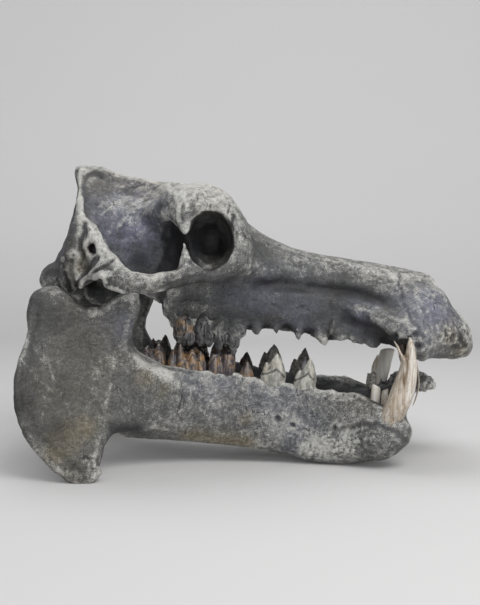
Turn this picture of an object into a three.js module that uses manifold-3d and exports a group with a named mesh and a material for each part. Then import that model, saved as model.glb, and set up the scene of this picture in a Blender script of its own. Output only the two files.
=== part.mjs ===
// Fossil hippopotamus skull, life size: the cranium rests on the mandible, whose two
// angles and chin stand on the floor. Millimetres; +X runs forward to the snout, +Y to the
// animal's left and +Z up. The origin is on the floor, under the middle of the bounding box.
//
// Each bone is a field: a function of (x, y, z) that is negative inside the bone. Fields are
// blended like clay, cast into a closed triangle mesh and then thinned to a small number of
// faces. Both bones are symmetric, so their fields read the distance out from the midline, and
// only the broken places differ from side to side.
import * as THREE from "three";
import { mergeVertices } from "three/addons/utils/BufferGeometryUtils.js";
import Module from "manifold-3d";

const wasm = await Module();
wasm.setup();

// ---------------------------------------------------------------- driving dimensions
const FLOOR = 0;
const SEAT_GAP = 0.3; // clearance between pieces that touch
const CRANIUM_FACES = 4500;
const MANDIBLE_FACES = 2740;
const BONE_CELL = 6.2; // grid step that the bones are cast on

// ---------------------------------------------------------------- clay
const clamp = (v, low = 0, high = 1) => Math.min(Math.max(v, low), high);
const ease = (t) => {
  const s = clamp(t);
  return s * s * (3 - 2 * s);
};
const ramp = (v, from, to) => ease((v - from) / (to - from));

// Union and cut with a fillet of about `round` millimetres.
function join(a, b, round = 6) {
  const h = Math.max(round - Math.abs(a - b), 0) / round;
  return Math.min(a, b) - h * h * round * 0.25;
}
const cut = (a, b, round = 4) => -join(-a, b, round);

// A smooth function of one coordinate through [place, value] stations.
function along(stations) {
  const last = stations.length - 1;
  const slope = (i) => {
    const [a, b] = [stations[Math.max(i - 1, 0)], stations[Math.min(i + 1, last)]];
    return (b[1] - a[1]) / (b[0] - a[0]);
  };
  const slopes = stations.map((_, i) => slope(i));
  return (x) => {
    if (x <= stations[0][0]) return stations[0][1];
    if (x >= stations[last][0]) return stations[last][1];
    let i = 0;
    while (x > stations[i + 1][0]) i++;
    const [x0, v0] = stations[i];
    const [x1, v1] = stations[i + 1];
    const w = x1 - x0;
    const t = (x - x0) / w;
    const s = t * t * (3 - 2 * t);
    return v0 + (v1 - v0) * s + w * t * (1 - t) * ((1 - t) * slopes[i] - t * slopes[i + 1]);
  };
}

// An egg with three radii.
function egg(x, y, z, [cx, cy, cz], [rx, ry, rz]) {
  const [u, v, w] = [(x - cx) / rx, (y - cy) / ry, (z - cz) / rz];
  const near = Math.hypot(u, v, w);
  return (near * (near - 1)) / (Math.hypot(u / rx, v / ry, w / rz) + 1e-9);
}

// A rod from a to b whose radius runs from ra to rb.
function rod(x, y, z, [ax, ay, az], [bx, by, bz], ra, rb = ra) {
  const [dx, dy, dz] = [bx - ax, by - ay, bz - az];
  const [px, py, pz] = [x - ax, y - ay, z - az];
  const t = clamp((px * dx + py * dy + pz * dz) / (dx * dx + dy * dy + dz * dz));
  return Math.hypot(px - dx * t, py - dy * t, pz - dz * t) - (ra + (rb - ra) * t);
}

// A bar of oval section along a smooth path of [x, y, z, tall, thick] stations.
function bar(stations, steps = 20) {
  const path = new THREE.CatmullRomCurve3(stations.map(([x, y, z]) => new THREE.Vector3(x, y, z)));
  const size = (k) => along(stations.map((s, i) => [i / (stations.length - 1), s[k]]));
  const [tall, thick] = [size(3), size(4)];
  const line = Array.from({ length: steps + 1 }, (_, i) => path.getPoint(i / steps).toArray());
  return (x, y, z) => {
    let best = Infinity;
    let found = 0;
    let [ox, oy, oz] = [0, 0, 0];
    for (let i = 0; i < steps; i++) {
      const [ax, ay, az] = line[i];
      const [bx, by, bz] = line[i + 1];
      const [dx, dy, dz] = [bx - ax, by - ay, bz - az];
      const [px, py, pz] = [x - ax, y - ay, z - az];
      const t = clamp((px * dx + py * dy + pz * dz) / (dx * dx + dy * dy + dz * dz));
      const [qx, qy, qz] = [px - dx * t, py - dy * t, pz - dz * t];
      const d = qx * qx + qy * qy + qz * qz;
      if (d < best) {
        best = d;
        found = (i + t) / steps;
        [ox, oy, oz] = [qx, qy, qz];
      }
    }
    const [h, w] = [tall(found), thick(found)];
    return (Math.hypot(oz / h, Math.hypot(ox, oy) / w) - 1) * Math.min(h, w);
  };
}

// The signed distance to a smooth closed outline through a few points of a plane.
function outline(points, steps = 72) {
  const curve = new THREE.CatmullRomCurve3(
    points.map(([u, v]) => new THREE.Vector3(u, v, 0)),
    true,
    "centripetal",
  );
  const ring = curve.getPoints(steps).map(({ x, y }) => [x, y]);
  return (u, v) => {
    let best = Infinity;
    let inside = false;
    for (let i = 0; i < steps; i++) {
      const [au, av] = ring[i];
      const [bu, bv] = ring[i + 1];
      const [du, dv, pu, pv] = [bu - au, bv - av, u - au, v - av];
      const t = clamp((pu * du + pv * dv) / (du * du + dv * dv || 1));
      best = Math.min(best, Math.hypot(pu - du * t, pv - dv * t));
      if (av > v !== bv > v && u < au + (du * (v - av)) / dv) inside = !inside;
    }
    return inside ? -best : best;
  };
}

// ---------------------------------------------------------------- cranium
// Heights along the face, from the brow to the snout.
const roofLine = along([
  [-130, 392], [-95, 383], [-60, 374], [-32, 358], [-8, 340], [25, 318], [70, 300],
  [143, 286], [216, 274], [264, 264],
]);
const toothLine = along([
  [-120, 210], [-105, 187], [-8, 185], [45, 178], [85, 171], [110, 163], [150, 166],
  [190, 170], [245, 150],
]);
// Half widths of the face at its roof, at mid height and at the tooth line.
const roofHalf = along([
  [-120, 62], [-60, 74], [-20, 62], [40, 50], [110, 40], [200, 44], [262, 42],
]);
const waistHalf = along([
  [-120, 52], [-60, 76], [0, 80], [60, 70], [110, 59], [160, 66], [205, 84], [262, 82],
]);
const toothHalf = along([
  [-120, 58], [-80, 68], [0, 68], [80, 60], [130, 60], [165, 78], [200, 108], [235, 108], [262, 92],
]);

// The muzzle, cheeks and brow between the eyes, as one long tapering box with soft edges.
function face(x, y, z) {
  const [top, bottom] = [roofLine(x), toothLine(x)];
  const t = clamp((z - bottom) / (top - bottom));
  const [a, b, c] = [toothHalf(x), waistHalf(x), roofHalf(x)];
  const half = a + t * (4 * b - 3 * a - c) + t * t * (2 * a + 2 * c - 4 * b);
  const side = Math.abs(y) / Math.max(half, 20);
  const rise = (z - (top + bottom) / 2) / ((top - bottom) / 2);
  const shell = (Math.pow(side ** 4 + rise ** 4, 0.25) - 1) * Math.min(half, (top - bottom) / 2);
  const ends = Math.max(x - 263, -118 - x);
  return -join(-shell, -ends, 10);
}

// The canine process: the swelling of the upper jaw round each upper canine's socket.
const canineRidge = bar([
  [128, 52, 213, 16, 14], [160, 72, 203, 20, 18], [190, 95, 192, 20, 20], [212, 104, 187, 24, 18],
  [232, 98, 180, 26, 16],
]);
// The premaxilla: a thick wing on each side of the nose opening, ending in a blunt snout.
const snoutWing = bar([
  [232, 72, 201, 48, 26], [255, 70, 197, 53, 22], [276, 62, 184, 46, 22], [292, 52, 171, 31, 22],
  [299, 44, 165, 18, 16],
]);
const noseFloor = (x, y, z) => egg(x, y, z, [232, 0, 171], [66, 62, 15]);

function snout(x, y, z) {
  let d = join(canineRidge(x, y, z), snoutWing(x, y, z), 22);
  d = join(d, noseFloor(x, y, z), 12);
  return d;
}

// The brow over each eye and the ring of bone round the orbit.
const ORBIT = { at: [-57, 120, 314], radii: [31, 84, 39] };
function brow(x, y, z) {
  const dome = egg(x, y, z, [-76, 78, 350], [48, 48, 44]);
  const plate = egg(x, y, z, [-92, 0, 356], [72, 92, 27]);
  const [u, w] = [(x - ORBIT.at[0]) / (ORBIT.radii[0] + 9), (z - ORBIT.at[2]) / (ORBIT.radii[2] + 10)];
  const ring = (Math.hypot(u, w) - 1) * 40;
  const rim = Math.hypot(ring, (y - 108 - (z - 315) * -0.12) * 0.8) - 12;
  const lacrimal = egg(x, y, z, [-22, 84, 300], [26, 34, 46]);
  return join(join(dome, plate, 30), join(rim, lacrimal, 16), 22);
}
// The bar behind the eye is open at its narrowest place.
const browHorn = (x, y, z) => rod(x, y, z, [-104, 92, 368], [-89, 126, 329], 17, 4.5);
const cheekHorn = (x, y, z) => rod(x, y, z, [-86, 140, 280], [-90, 131, 311], 13, 4.5);

// The arch of the cheek, from the face round the coronoid to the ear.
const cheekArch = bar([
  [20, 68, 268, 16, 16], [-22, 98, 276, 17, 18], [-66, 134, 271, 11, 13], [-106, 160, 264, 12, 11],
  [-146, 172, 259, 14, 9], [-176, 163, 268, 18, 12], [-200, 138, 289, 24, 14], [-222, 104, 316, 25, 16],
], 28);

// The braincase with its sagittal crest, and the fan of bone behind it.
const crestLine = along([[-260, 409], [-236, 412], [-212, 411], [-190, 409], [-140, 398], [-118, 390]]);
function braincase(x, y, z) {
  const vault = egg(x, y, z, [-178, 0, 318], [82, 60, 66]);
  const base = egg(x, y, z, [-196, 0, 272], [90, 46, 34]);
  const stem = egg(x, y, z, [-110, 0, 290], [50, 30, 60]);
  return join(join(vault, base, 24), stem, 26);
}
function sagittalCrest(x, y, z) {
  const thick = 5 + 0.16 * Math.max(crestLine(x) - z, 0);
  return Math.max(z - crestLine(x), 350 - z, -244 - x, x + 100, Math.abs(y) - thick);
}
const fanOutline = outline([
  [0, 413], [30, 408], [62, 387], [86, 362], [104, 334], [118, 303], [120, 280], [100, 262],
  [40, 244], [0, 240], [-40, 244], [-60, 300], [-40, 400],
]);
function nuchalFan(x, y, z) {
  if (Math.abs(x + 250) > 80) return Math.abs(x + 250) - 50;
  const edge = fanOutline(y, z);
  const lean = 0.53 * clamp(352 - z, 0, 62) * (1 - (y / 135) ** 2);
  const middle = -222 - lean - 15 * ramp(edge, -26, -5);
  const thick = 8 + 5 * ramp(-edge, 12, 45);
  return -join(-edge, (thick - Math.abs(x - middle)) * 0.8, 11);
}

// The joint for the jaw, the ear region and the processes under the back of the skull.
function skullBase(x, y, z) {
  let d = rod(x, y, z, [-200, 66, 272], [-198, 146, 276], 20, 17);
  d = join(d, rod(x, y, z, [-228, 88, 268], [-228, 140, 262], 13, 9), 12);
  d = join(d, egg(x, y, z, [-238, 98, 284], [20, 22, 28]), 12);
  d = join(d, egg(x, y, z, [-212, 50, 242], [26, 20, 20]), 8);
  d = join(d, rod(x, y, z, [-252, 82, 268], [-252, 82, 247], 13, 8), 10);
  return d;
}
function occipitalCondyle(x, y, z) {
  return egg(x, y, z, [-279, 33, 258], [25, 25, 25]);
}
// Thin plates behind the palate, and the end of the jaw behind the last molar.
function pterygoid(x, y, z) {
  const plate = Math.max(
    Math.abs(y - 34) - 5,
    Math.abs(x + 132) - 30,
    z - 285,
    206 + 0.55 * (-100 - x) - z,
  );
  return join(plate, egg(x, y, z, [-112, 58, 226], [16, 15, 26]), 10);
}

// Hollows: the orbit, the gap behind it, the nose, the throat, the palate and the sockets.
const earHole = (x, y, z) => rod(x, y, z, [-212, 140, 308], [-214, 92, 300], 6);
const jawJoint = (x, y, z) => rod(x, y, z, [-208, 80, 246], [-208, 176, 248], 12, 15);
const noseHole = bar([
  [330, 0, 236, 40, 34], [270, 0, 228, 36, 34], [200, 0, 222, 30, 27], [150, 0, 222, 20, 18],
]);
const snoutNotch = (x, y, z) => Math.max(y - 9 - 0.16 * Math.max(x - 270, 0), 268 - x);
const throat = bar([
  [-185, 0, 226, 22, 24], [-120, 0, 226, 24, 26], [-80, 0, 228, 18, 22],
]);
const palateVault = bar([
  [-130, 0, 179, 20, 36], [0, 0, 173, 22, 34], [100, 0, 167, 18, 34], [190, 0, 154, 18, 48],
]);
const behindOrbit = (x, y, z) => egg(x, y, z, [-112, 112, 300], [23, 82, 44]);
const foramenMagnum = (x, y, z) => rod(x, y, z, [-320, 0, 274], [-262, 0, 276], 17);
const SOCKETS = [[18, 60, 179, 8], [48, 61, 175, 10], [77, 60, 168, 8], [113, 59, 159, 7]];
const canineSocket = (x, y, z) => rod(x, y, z, [209, 113, 154], [198, 100, 182], 14, 11);
const undercut = (x, y, z) => egg(x, y, z, [160, 96, 167], [34, 26, 26]);
const muzzleHollow = bar([
  [-50, 116, 244, 9, 18], [30, 101, 254, 15, 22], [110, 88, 254, 17, 20], [188, 106, 241, 14, 16],
]);

function craniumField(x, yy, z) {
  const y = Math.abs(yy);
  let d = braincase(x, y, z);
  d = join(d, sagittalCrest(x, y, z), 26);
  d = join(d, nuchalFan(x, y, z), 40);
  d = join(d, face(x, y, z), 30);
  d = join(d, brow(x, y, z), 18);
  d = join(d, snout(x, y, z), 20);
  d = cut(d, egg(x, y, z, ORBIT.at, ORBIT.radii), 5);
  d = cut(d, behindOrbit(x, y, z), 10);
  d = join(d, skullBase(x, y, z), 14);
  d = join(d, cheekArch(x, y, z), 20);
  d = join(d, browHorn(x, y, z), 12);
  d = join(d, cheekHorn(x, y, z), 10);
  d = cut(d, egg(x, y, z, ORBIT.at, ORBIT.radii), 4);
  d = join(d, occipitalCondyle(x, y, z), 8);
  d = join(d, pterygoid(x, y, z), 8);
  d = cut(d, earHole(x, y, z), 3);
  d = cut(d, jawJoint(x, y, z), 6);
  d = cut(d, noseHole(x, y, z), 6);
  d = cut(d, snoutNotch(x, y, z), 8);
  d = cut(d, palateVault(x, y, z), 10);
  d = cut(d, throat(x, y, z), 8);
  d = cut(d, foramenMagnum(x, y, z), 5);
  d = cut(d, muzzleHollow(x, y, z), 22);
  d = cut(d, undercut(x, y, z), 14);
  d = cut(d, canineSocket(x, y, z), 3);
  for (const [sx, sy, sz, r] of SOCKETS) d = cut(d, egg(x, y, z, [sx, sy, sz], [r, r, 14]), 3);
  return d;
}

// ---------------------------------------------------------------- mandible
// Each half: a deep bar of bone with the cheek teeth along its top.
const jawBody = bar([
  [-168, 86, 91, 45, 20], [-110, 70, 86, 54, 22], [-40, 62, 78, 56, 22], [30, 62, 66, 55, 22],
  [90, 68, 57, 51, 22], [140, 80, 54, 46, 24], [186, 96, 50, 36, 24],
], 24);

// The chin: both halves meet in a broad plate with a raised front edge.
const chinBottom = along([
  [60, 12], [90, 3], [125, -1], [150, 3], [175, 13], [200, 32], [213, 56], [228, 82], [241, 97],
  [255, 104],
]);
const chinTop = along([[60, 60], [100, 74], [150, 82], [200, 90], [235, 102], [262, 112]]);
const chinHalf = along([
  [60, 62], [100, 78], [140, 90], [175, 108], [200, 114], [220, 106], [240, 92], [262, 70],
]);
function chin(x, y, z) {
  const [top, bottom, half] = [chinTop(x), chinBottom(x), chinHalf(x)];
  const middle = (top + bottom) / 2;
  const deep = Math.max((top - bottom) / 2, 5);
  const rise = (z - middle) / deep;
  const round = Math.pow(Math.abs(y / half) ** 3.2 + Math.abs(rise) ** 3.2, 1 / 3.2);
  const shell = (round - 1) * Math.min(half, deep);
  return -join(-shell, -Math.max(x - 260, 96 - 0.006 * y * y - x), 12);
}
const canineWall = bar([
  [150, 92, 64, 30, 18], [178, 105, 60, 30, 18], [198, 107, 55, 26, 17], [207, 104, 52, 18, 13],
]);
const incisorLip = bar([
  [198, 106, 92, 11, 11], [222, 98, 100, 10, 10], [242, 78, 105, 10, 9], [251, 44, 106, 9, 10],
  [253, 0, 107, 9, 11],
]);

// The ramus and the great flared angle: a plate whose mid surface swings outwards.
const ramusOutline = outline([
  [-290, 243], [-297, 222], [-295, 200], [-303, 171], [-310, 142], [-312, 109], [-305, 80],
  [-291, 50], [-270, 25], [-243, 3], [-221, -3], [-204, 8], [-200, 30], [-192, 52], [-150, 60],
  [-70, 70], [-66, 104], [-110, 130], [-154, 150], [-166, 178], [-160, 200], [-151, 226],
  [-156, 246], [-184, 240], [-205, 226], [-228, 225], [-252, 240], [-272, 248],
]);
function plateMiddle(x, z) {
  const back = clamp((-150 - x) / 160);
  const down = clamp((235 - z) / 235);
  const sweep = 76 * back ** 1.2 * (0.25 + 0.75 * clamp(down / 0.4));
  const out = 84 + sweep + 75 * down ** 2 * ease(back / 0.35) + 36 * (1 - down) ** 2;
  return join(out, 182, 24) - 22 * ramp(x, -150, -66);
}
function ramus(x, y, z) {
  const offset = Math.abs(y - plateMiddle(x, z)) * 0.75;
  if (offset > 60) return offset - 18;
  const edge = ramusOutline(x, z);
  const back = clamp((-150 - x) / 160);
  const root = (1 - ease(back / 0.55)) * (1 - ramp(x, -140, -66));
  const thick = 7 + 12 * root + 5 * ramp(edge, -22, -6) * ease(back / 0.2);
  return -join(-edge, thick * 0.75 - offset, 10);
}
function jawCondyle(x, y, z) {
  const head = rod(x, y, z, [-266, 98, 234], [-270, 140, 228], 13, 16);
  const neck = egg(x, y, z, [-271, 136, 204], [22, 14, 38]);
  return join(head, neck, 22);
}
// The tip of each angle, where the jaw meets the floor.
const floorPad = (x, y, z) => egg(x, y, z, [-222, 184, 12], [22, 10, 13]);

function mandibleField(x, yy, z) {
  const y = Math.abs(yy);
  let d = jawBody(x, y, z);
  d = join(d, ramus(x, y, z), 34);
  d = join(d, jawCondyle(x, y, z), 20);
  d = join(d, floorPad(x, y, z), 8);
  let front = join(chin(x, y, z), canineWall(x, y, z), 14);
  front = join(front, incisorLip(x, y, z), 10);
  d = join(d, front, 18);
  if (yy < 0) d = cut(d, brokenSocketWall(x, y, z), 6);
  return d;
}
// The right tusk's socket has lost its front wall, so that the tusk's root shows.
const brokenSocketWall = (x, y, z) => egg(x, y, z, [231, 106, 99], [36, 68, 38]);

// ---------------------------------------------------------------- casting a field into a mesh
// Marching tetrahedra over a regular grid: always a closed surface with its faces outwards.
const CUBE = [0, 1, 2, 3, 4, 5, 6, 7].map((c) => [c & 1, (c >> 1) & 1, c >> 2]);
const BLOCK = 4; // grid points to the side of a block
const REACH = BLOCK * 1.1; // a block whose middle lies further out than this holds no surface
const TINY = 1e-3; // no grid point lies closer than this to the surface
const TETS = [[0, 1, 3, 7], [0, 3, 2, 7], [0, 2, 6, 7], [0, 6, 4, 7], [0, 4, 5, 7], [0, 5, 1, 7]];

function sample(field, n, place, cell) {
  const value = new Float32Array(n[0] * n[1] * n[2]);
  const starts = n.map((count) => Array.from({ length: Math.ceil(count / BLOCK) }, (_, b) => b * BLOCK));
  for (const k0 of starts[2])
    for (const j0 of starts[1])
      for (const i0 of starts[0]) {
        const middle = field(...place(i0 + BLOCK / 2, j0 + BLOCK / 2, k0 + BLOCK / 2));
        const far = Math.abs(middle) > REACH * cell;
        for (let k = k0; k < Math.min(k0 + BLOCK, n[2]); k++)
          for (let j = j0; j < Math.min(j0 + BLOCK, n[1]); j++)
            for (let i = i0; i < Math.min(i0 + BLOCK, n[0]); i++) {
              const v = far ? middle : field(...place(i, j, k));
              value[i + n[0] * (j + n[1] * k)] = Math.abs(v) < TINY ? TINY : v;
            }
      }
  return value;
}

function cast(field, { min, max }, cell) {
  const n = min.map((low, k) => Math.ceil((max[k] - low) / cell) + 1);
  const place = (i, j, k) => [min[0] + i * cell, min[1] + j * cell, min[2] + k * cell];
  const index = (i, j, k) => i + n[0] * (j + n[1] * k);
  const value = sample(field, n, place, cell);
  const points = [];
  const faces = [];
  const crossing = new Map();
  const point = (a, b) => {
    const key = a.id < b.id ? a.id * value.length + b.id : b.id * value.length + a.id;
    if (!crossing.has(key)) {
      const t = clamp(value[a.id] / (value[a.id] - value[b.id]), 0.04, 0.96);
      crossing.set(key, points.length);
      points.push(a.at.map((v, m) => v + (b.at[m] - v) * t));
    }
    return crossing.get(key);
  };
  for (let k = 0; k + 1 < n[2]; k++)
    for (let j = 0; j + 1 < n[1]; j++)
      for (let i = 0; i + 1 < n[0]; i++) {
        const ids = CUBE.map(([a, b, c]) => index(i + a, j + b, k + c));
        const signs = ids.reduce((s, id) => s + (value[id] < 0), 0);
        if (signs === 0 || signs === 8) continue;
        const corner = CUBE.map(([a, b, c], m) => ({ id: ids[m], at: place(i + a, j + b, k + c) }));
        for (const tet of TETS) {
          const inner = tet.filter((m) => value[ids[m]] < 0).map((m) => corner[m]);
          const outer = tet.filter((m) => value[ids[m]] >= 0).map((m) => corner[m]);
          if (!inner.length || !outer.length) continue;
          const loop =
            inner.length === 2
              ? [[0, 0], [0, 1], [1, 1], [1, 0]].map(([a, b]) => point(inner[a], outer[b]))
              : inner.length === 1
                ? outer.map((o) => point(inner[0], o))
                : inner.map((o) => point(o, outer[0]));
          const corners = inner.length === 3 ? [outer[0], ...inner] : [...inner, ...outer];
          if (rightHanded(corners) !== inner.length < 3) loop.reverse();
          faces.push(loop.slice(0, 3));
          if (loop.length === 4) faces.push([loop[0], loop[2], loop[3]]);
        }
      }
  return { points, faces };
}

// Whether the edges from the first corner of a tetrahedron to the other three are right-handed.
function rightHanded(corners) {
  const [p, q, r, s] = corners.map(({ at }) => new THREE.Vector3(...at));
  return q.sub(p).cross(r.sub(p)).dot(s.sub(p)) > 0;
}

// ---------------------------------------------------------------- thinning a mesh
// Merges the two ends of the edge whose loss changes the surface least, over and over. It
// never turns a face over and never pinches the surface.
const SIDES = [[0, 1], [1, 2], [2, 0]];
const HOLD = 0.004; // how strongly a point holds on to its own place

// The ten terms of the squared distance to the plane ax + by + cz + d = 0, and its value.
const squared = ([a, b, c, d], w) =>
  [a * a, a * b, a * c, a * d, b * b, b * c, b * d, c * c, c * d, d * d].map((v) => v * w);
const errorAt = (q, { x, y, z }) =>
  q[0] * x * x + q[4] * y * y + q[7] * z * z + q[9] +
  2 * (q[1] * x * y + q[2] * x * z + q[3] * x + q[5] * y * z + q[6] * y + q[8] * z);
const lowest = (q) =>
  new THREE.Vector3(-q[3], -q[6], -q[8]).applyMatrix3(
    new THREE.Matrix3().set(q[0], q[1], q[2], q[1], q[4], q[5], q[2], q[5], q[7]).invert(),
  );

// A heap that gives back the entry with the least cost first.
function heap() {
  const list = [];
  const swap = (i, j) => ([list[i], list[j]] = [list[j], list[i]]);
  const push = (entry) => {
    let i = list.push(entry) - 1;
    while (i && list[i].cost < list[(i - 1) >> 1].cost) {
      swap(i, (i - 1) >> 1);
      i = (i - 1) >> 1;
    }
  };
  const pop = () => {
    swap(0, list.length - 1);
    const top = list.pop();
    for (let i = 0; ; ) {
      let least = i;
      for (const kid of [2 * i + 1, 2 * i + 2])
        if (kid < list.length && list[kid].cost < list[least].cost) least = kid;
      if (least === i) return top;
      swap(i, least);
      i = least;
    }
  };
  return { push, pop, size: () => list.length };
}

function thin({ points, faces }, target) {
  const at = points.map((p) => new THREE.Vector3(...p));
  const tris = faces.map((face) => [...face]);
  const fans = at.map(() => new Set());
  const age = new Int32Array(at.length);
  const cross = (a, b, c) => b.clone().sub(a).cross(c.clone().sub(a));
  const error = at.map(({ x, y, z }) => {
    const holds = [[1, 0, 0, -x], [0, 1, 0, -y], [0, 0, 1, -z]].map((axis) => squared(axis, HOLD));
    return holds[0].map((v, k) => v + holds[1][k] + holds[2][k]);
  });
  tris.forEach((tri, f) => {
    const normal = cross(...tri.map((v) => at[v]));
    const area = normal.length() / 2;
    normal.normalize();
    const terms = squared([normal.x, normal.y, normal.z, -normal.dot(at[tri[0]])], area / 40);
    for (const v of tri) {
      fans[v].add(f);
      terms.forEach((term, k) => (error[v][k] += term));
    }
  });
  const queue = heap();
  const offer = (a, b) => {
    const sum = error[a].map((v, k) => v + error[b][k]);
    const spot = lowest(sum);
    queue.push({ cost: errorAt(sum, spot), a, b, ages: [age[a], age[b]], spot, sum });
  };
  const ringOf = (v) => new Set([...fans[v]].flatMap((f) => tris[f]).filter((w) => w !== v));
  const keepsItsSide = (v, other, spot) =>
    [...fans[v]].every((f) => {
      if (tris[f].includes(other)) return true;
      const before = cross(...tris[f].map((w) => at[w]));
      const after = cross(...tris[f].map((w) => (w === v ? spot : at[w])));
      return before.dot(after) > 0.35 * before.length() * after.length() && after.length() > 0.5;
    });
  tris.forEach((tri) => {
    for (const [i, j] of SIDES) if (tri[i] < tri[j]) offer(tri[i], tri[j]);
  });
  let left = tris.length;
  while (left > target && queue.size()) {
    const { a, b, ages, spot, sum } = queue.pop();
    if (age[a] !== ages[0] || age[b] !== ages[1]) continue;
    const ring = ringOf(b);
    const shared = [...ringOf(a)].filter((v) => ring.has(v));
    if (shared.length !== 2 || !keepsItsSide(a, b, spot) || !keepsItsSide(b, a, spot)) continue;
    for (const f of [...fans[b]]) {
      if (tris[f].includes(a)) {
        for (const v of tris[f]) fans[v].delete(f);
        tris[f] = null;
        left--;
      } else {
        tris[f] = tris[f].map((v) => (v === b ? a : v));
        fans[a].add(f);
      }
    }
    at[a] = spot;
    error[a] = sum;
    age[a]++;
    age[b] = -1;
    for (const v of ringOf(a)) offer(a, v);
  }
  const kept = [...new Set(tris.filter(Boolean).flat())];
  const place = new Map(kept.map((v, i) => [v, i]));
  return {
    points: kept.map((v) => at[v].toArray()),
    faces: tris.filter(Boolean).map((tri) => tri.map((v) => place.get(v))),
  };
}

// ---------------------------------------------------------------- solids
const solid = ({ points, faces }) =>
  new wasm.Manifold(
    new wasm.Mesh({
      numProp: 3,
      vertProperties: Float32Array.from(points.flat()),
      triVerts: Uint32Array.from(faces.flat()),
    }),
  );

function solidFrom(geometry) {
  geometry.deleteAttribute("normal");
  geometry.deleteAttribute("uv");
  const merged = mergeVertices(geometry, 1e-3);
  const corners = [...merged.index.array];
  const places = [...merged.attributes.position.array];
  const triples = (list) => Array.from({ length: list.length / 3 }, (_, i) => list.slice(3 * i, 3 * i + 3));
  const faces = triples(corners).filter((face) => new Set(face).size === 3);
  return solid({ points: triples(places), faces });
}

function boneMesh(name, body, color, roughness = 0.8) {
  const { vertProperties, triVerts } = body.getMesh();
  const geometry = new THREE.BufferGeometry();
  geometry.setAttribute("position", new THREE.BufferAttribute(Float32Array.from(vertProperties), 3));
  geometry.setIndex(new THREE.BufferAttribute(Uint32Array.from(triVerts), 1));
  geometry.computeVertexNormals();
  const mesh = new THREE.Mesh(geometry, new THREE.MeshStandardMaterial({ color, roughness, metalness: 0 }));
  mesh.name = name;
  return mesh;
}

// ---------------------------------------------------------------- cheek teeth
// Each lobe of a tooth is a short pillar. Stations: x, tip z, half length, half width, y of its
// middle and how blunt its tip is, as a share of its width.
const LOWER_LOBES = [
  [-152, 164, 12, 17, 60, 0.6], [-133, 169, 12, 18, 59, 0.6], // m3
  [-107, 169, 14, 18, 58, 0.6], [-82, 165, 14, 18, 58, 0.65], // m2
  [-56, 157, 13, 17, 58, 0.8], [-31, 156, 13, 16, 58, 0.8], // m1
  [-6, 144, 11, 12, 59, 0.5], // p4, broken
  [34, 155, 14, 11, 62, 0.2], // p3
  [78, 148, 15, 10, 64, 0.2], // p2
];
const UPPER_LOBES = [
  [-103, 169, 15, 19, 58, 0.6], [-82, 166, 16, 20, 59, 0.6], [-62, 163, 14, 20, 60, 0.6], // M3, M2
  [-42, 158, 14, 19, 61, 0.6], [-20, 156, 14, 18, 61, 0.6], // M1
];
// Broken stubs that stand in the bone inside the right tusk's socket.
const SOCKET_STUBS = [[181, 96, 5, 6, 88, 0.5], [190, 98, 4, 5, 84, 0.4]];
const LOBE_SIDES = 6;
const LOBE_DEPTH = 40; // from its tip to its root in the bone

function lobe([x, tip, halfLength, halfWidth, y, blunt], side, root) {
  const stations = [[0, 0], [blunt, 0.03], [(blunt + 2.2) / 3.2, 0.3], [1, 1], [0, 1]];
  const profile = stations.map(([r, d]) => new THREE.Vector2(r, tip + root * d * LOBE_DEPTH));
  if (root < 0) profile.reverse();
  const shape = new THREE.LatheGeometry(profile, LOBE_SIDES);
  shape.rotateX(Math.PI / 2).scale(halfLength, -halfWidth, 1).scale(1, -1, 1);
  shape.translate(x, side * y, 0);
  return solidFrom(shape);
}

const biggest = (body) => body.decompose().sort((a, b) => b.volume() - a.volume())[0];
const bothSides = (make) => [-1, 1].flatMap((side) => make(side));
const unite = (bodies) => bodies.reduce((a, b) => a.add(b));

// ---------------------------------------------------------------- tusks
// Lower canines: broken, gently curved ivory of oval section. Stations: x, y, z, half the
// breadth fore and aft, half the breadth across.
const RIGHT_TUSK = [
  [176, 104, 40, 15, 15], [189, 112, 70, 17, 16], [206, 118, 104, 15, 15], [212, 119, 136, 12, 13],
  [211, 119, 160, 10.5, 12], [206, 119, 181, 7, 9],
];
const LEFT_TUSK = [
  [192, 98, 52, 15, 14], [204, 102, 80, 15, 13], [213, 104, 108, 13, 11], [213, 104, 128, 11, 9],
  [210, 104, 144, 9, 7],
];
const TUSK_SIDES = 8;
const TUSK_STEPS = 9;

function tuskShape(stations, side, grow = 0) {
  const path = new THREE.CatmullRomCurve3(stations.map(([x, y, z]) => new THREE.Vector3(x, side * y, z)));
  const size = (k) => along(stations.map((s, i) => [i / (stations.length - 1), s[k] + grow]));
  const [deep, wide] = [size(3), size(4)];
  const points = [];
  const faces = [];
  for (let i = 0; i <= TUSK_STEPS; i++) {
    const t = i / TUSK_STEPS;
    const middle = path.getPoint(t);
    if (grow && (i === 0 || i === TUSK_STEPS)) middle.z += i ? grow : -grow;
    for (let k = 0; k < TUSK_SIDES; k++) {
      const angle = (k / TUSK_SIDES) * 2 * Math.PI;
      points.push([middle.x + deep(t) * Math.cos(angle), middle.y + wide(t) * Math.sin(angle), middle.z]);
    }
  }
  const at = (i, k) => i * TUSK_SIDES + (k % TUSK_SIDES);
  for (let i = 0; i < TUSK_STEPS; i++)
    for (let k = 0; k < TUSK_SIDES; k++) {
      faces.push([at(i, k), at(i, k + 1), at(i + 1, k + 1)], [at(i, k), at(i + 1, k + 1), at(i + 1, k)]);
    }
  for (let k = 1; k + 1 < TUSK_SIDES; k++) {
    faces.push([at(0, 0), at(0, k + 1), at(0, k)]);
    faces.push([at(TUSK_STEPS, 0), at(TUSK_STEPS, k), at(TUSK_STEPS, k + 1)]);
  }
  return solid({ points, faces });
}

// ---------------------------------------------------------------- the pieces
const CRANIUM_SPACE = { min: [-315, -196, 128], max: [322, 196, 430] };
const MANDIBLE_SPACE = { min: [-330, -214, -22], max: [294, 214, 268] };

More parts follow.
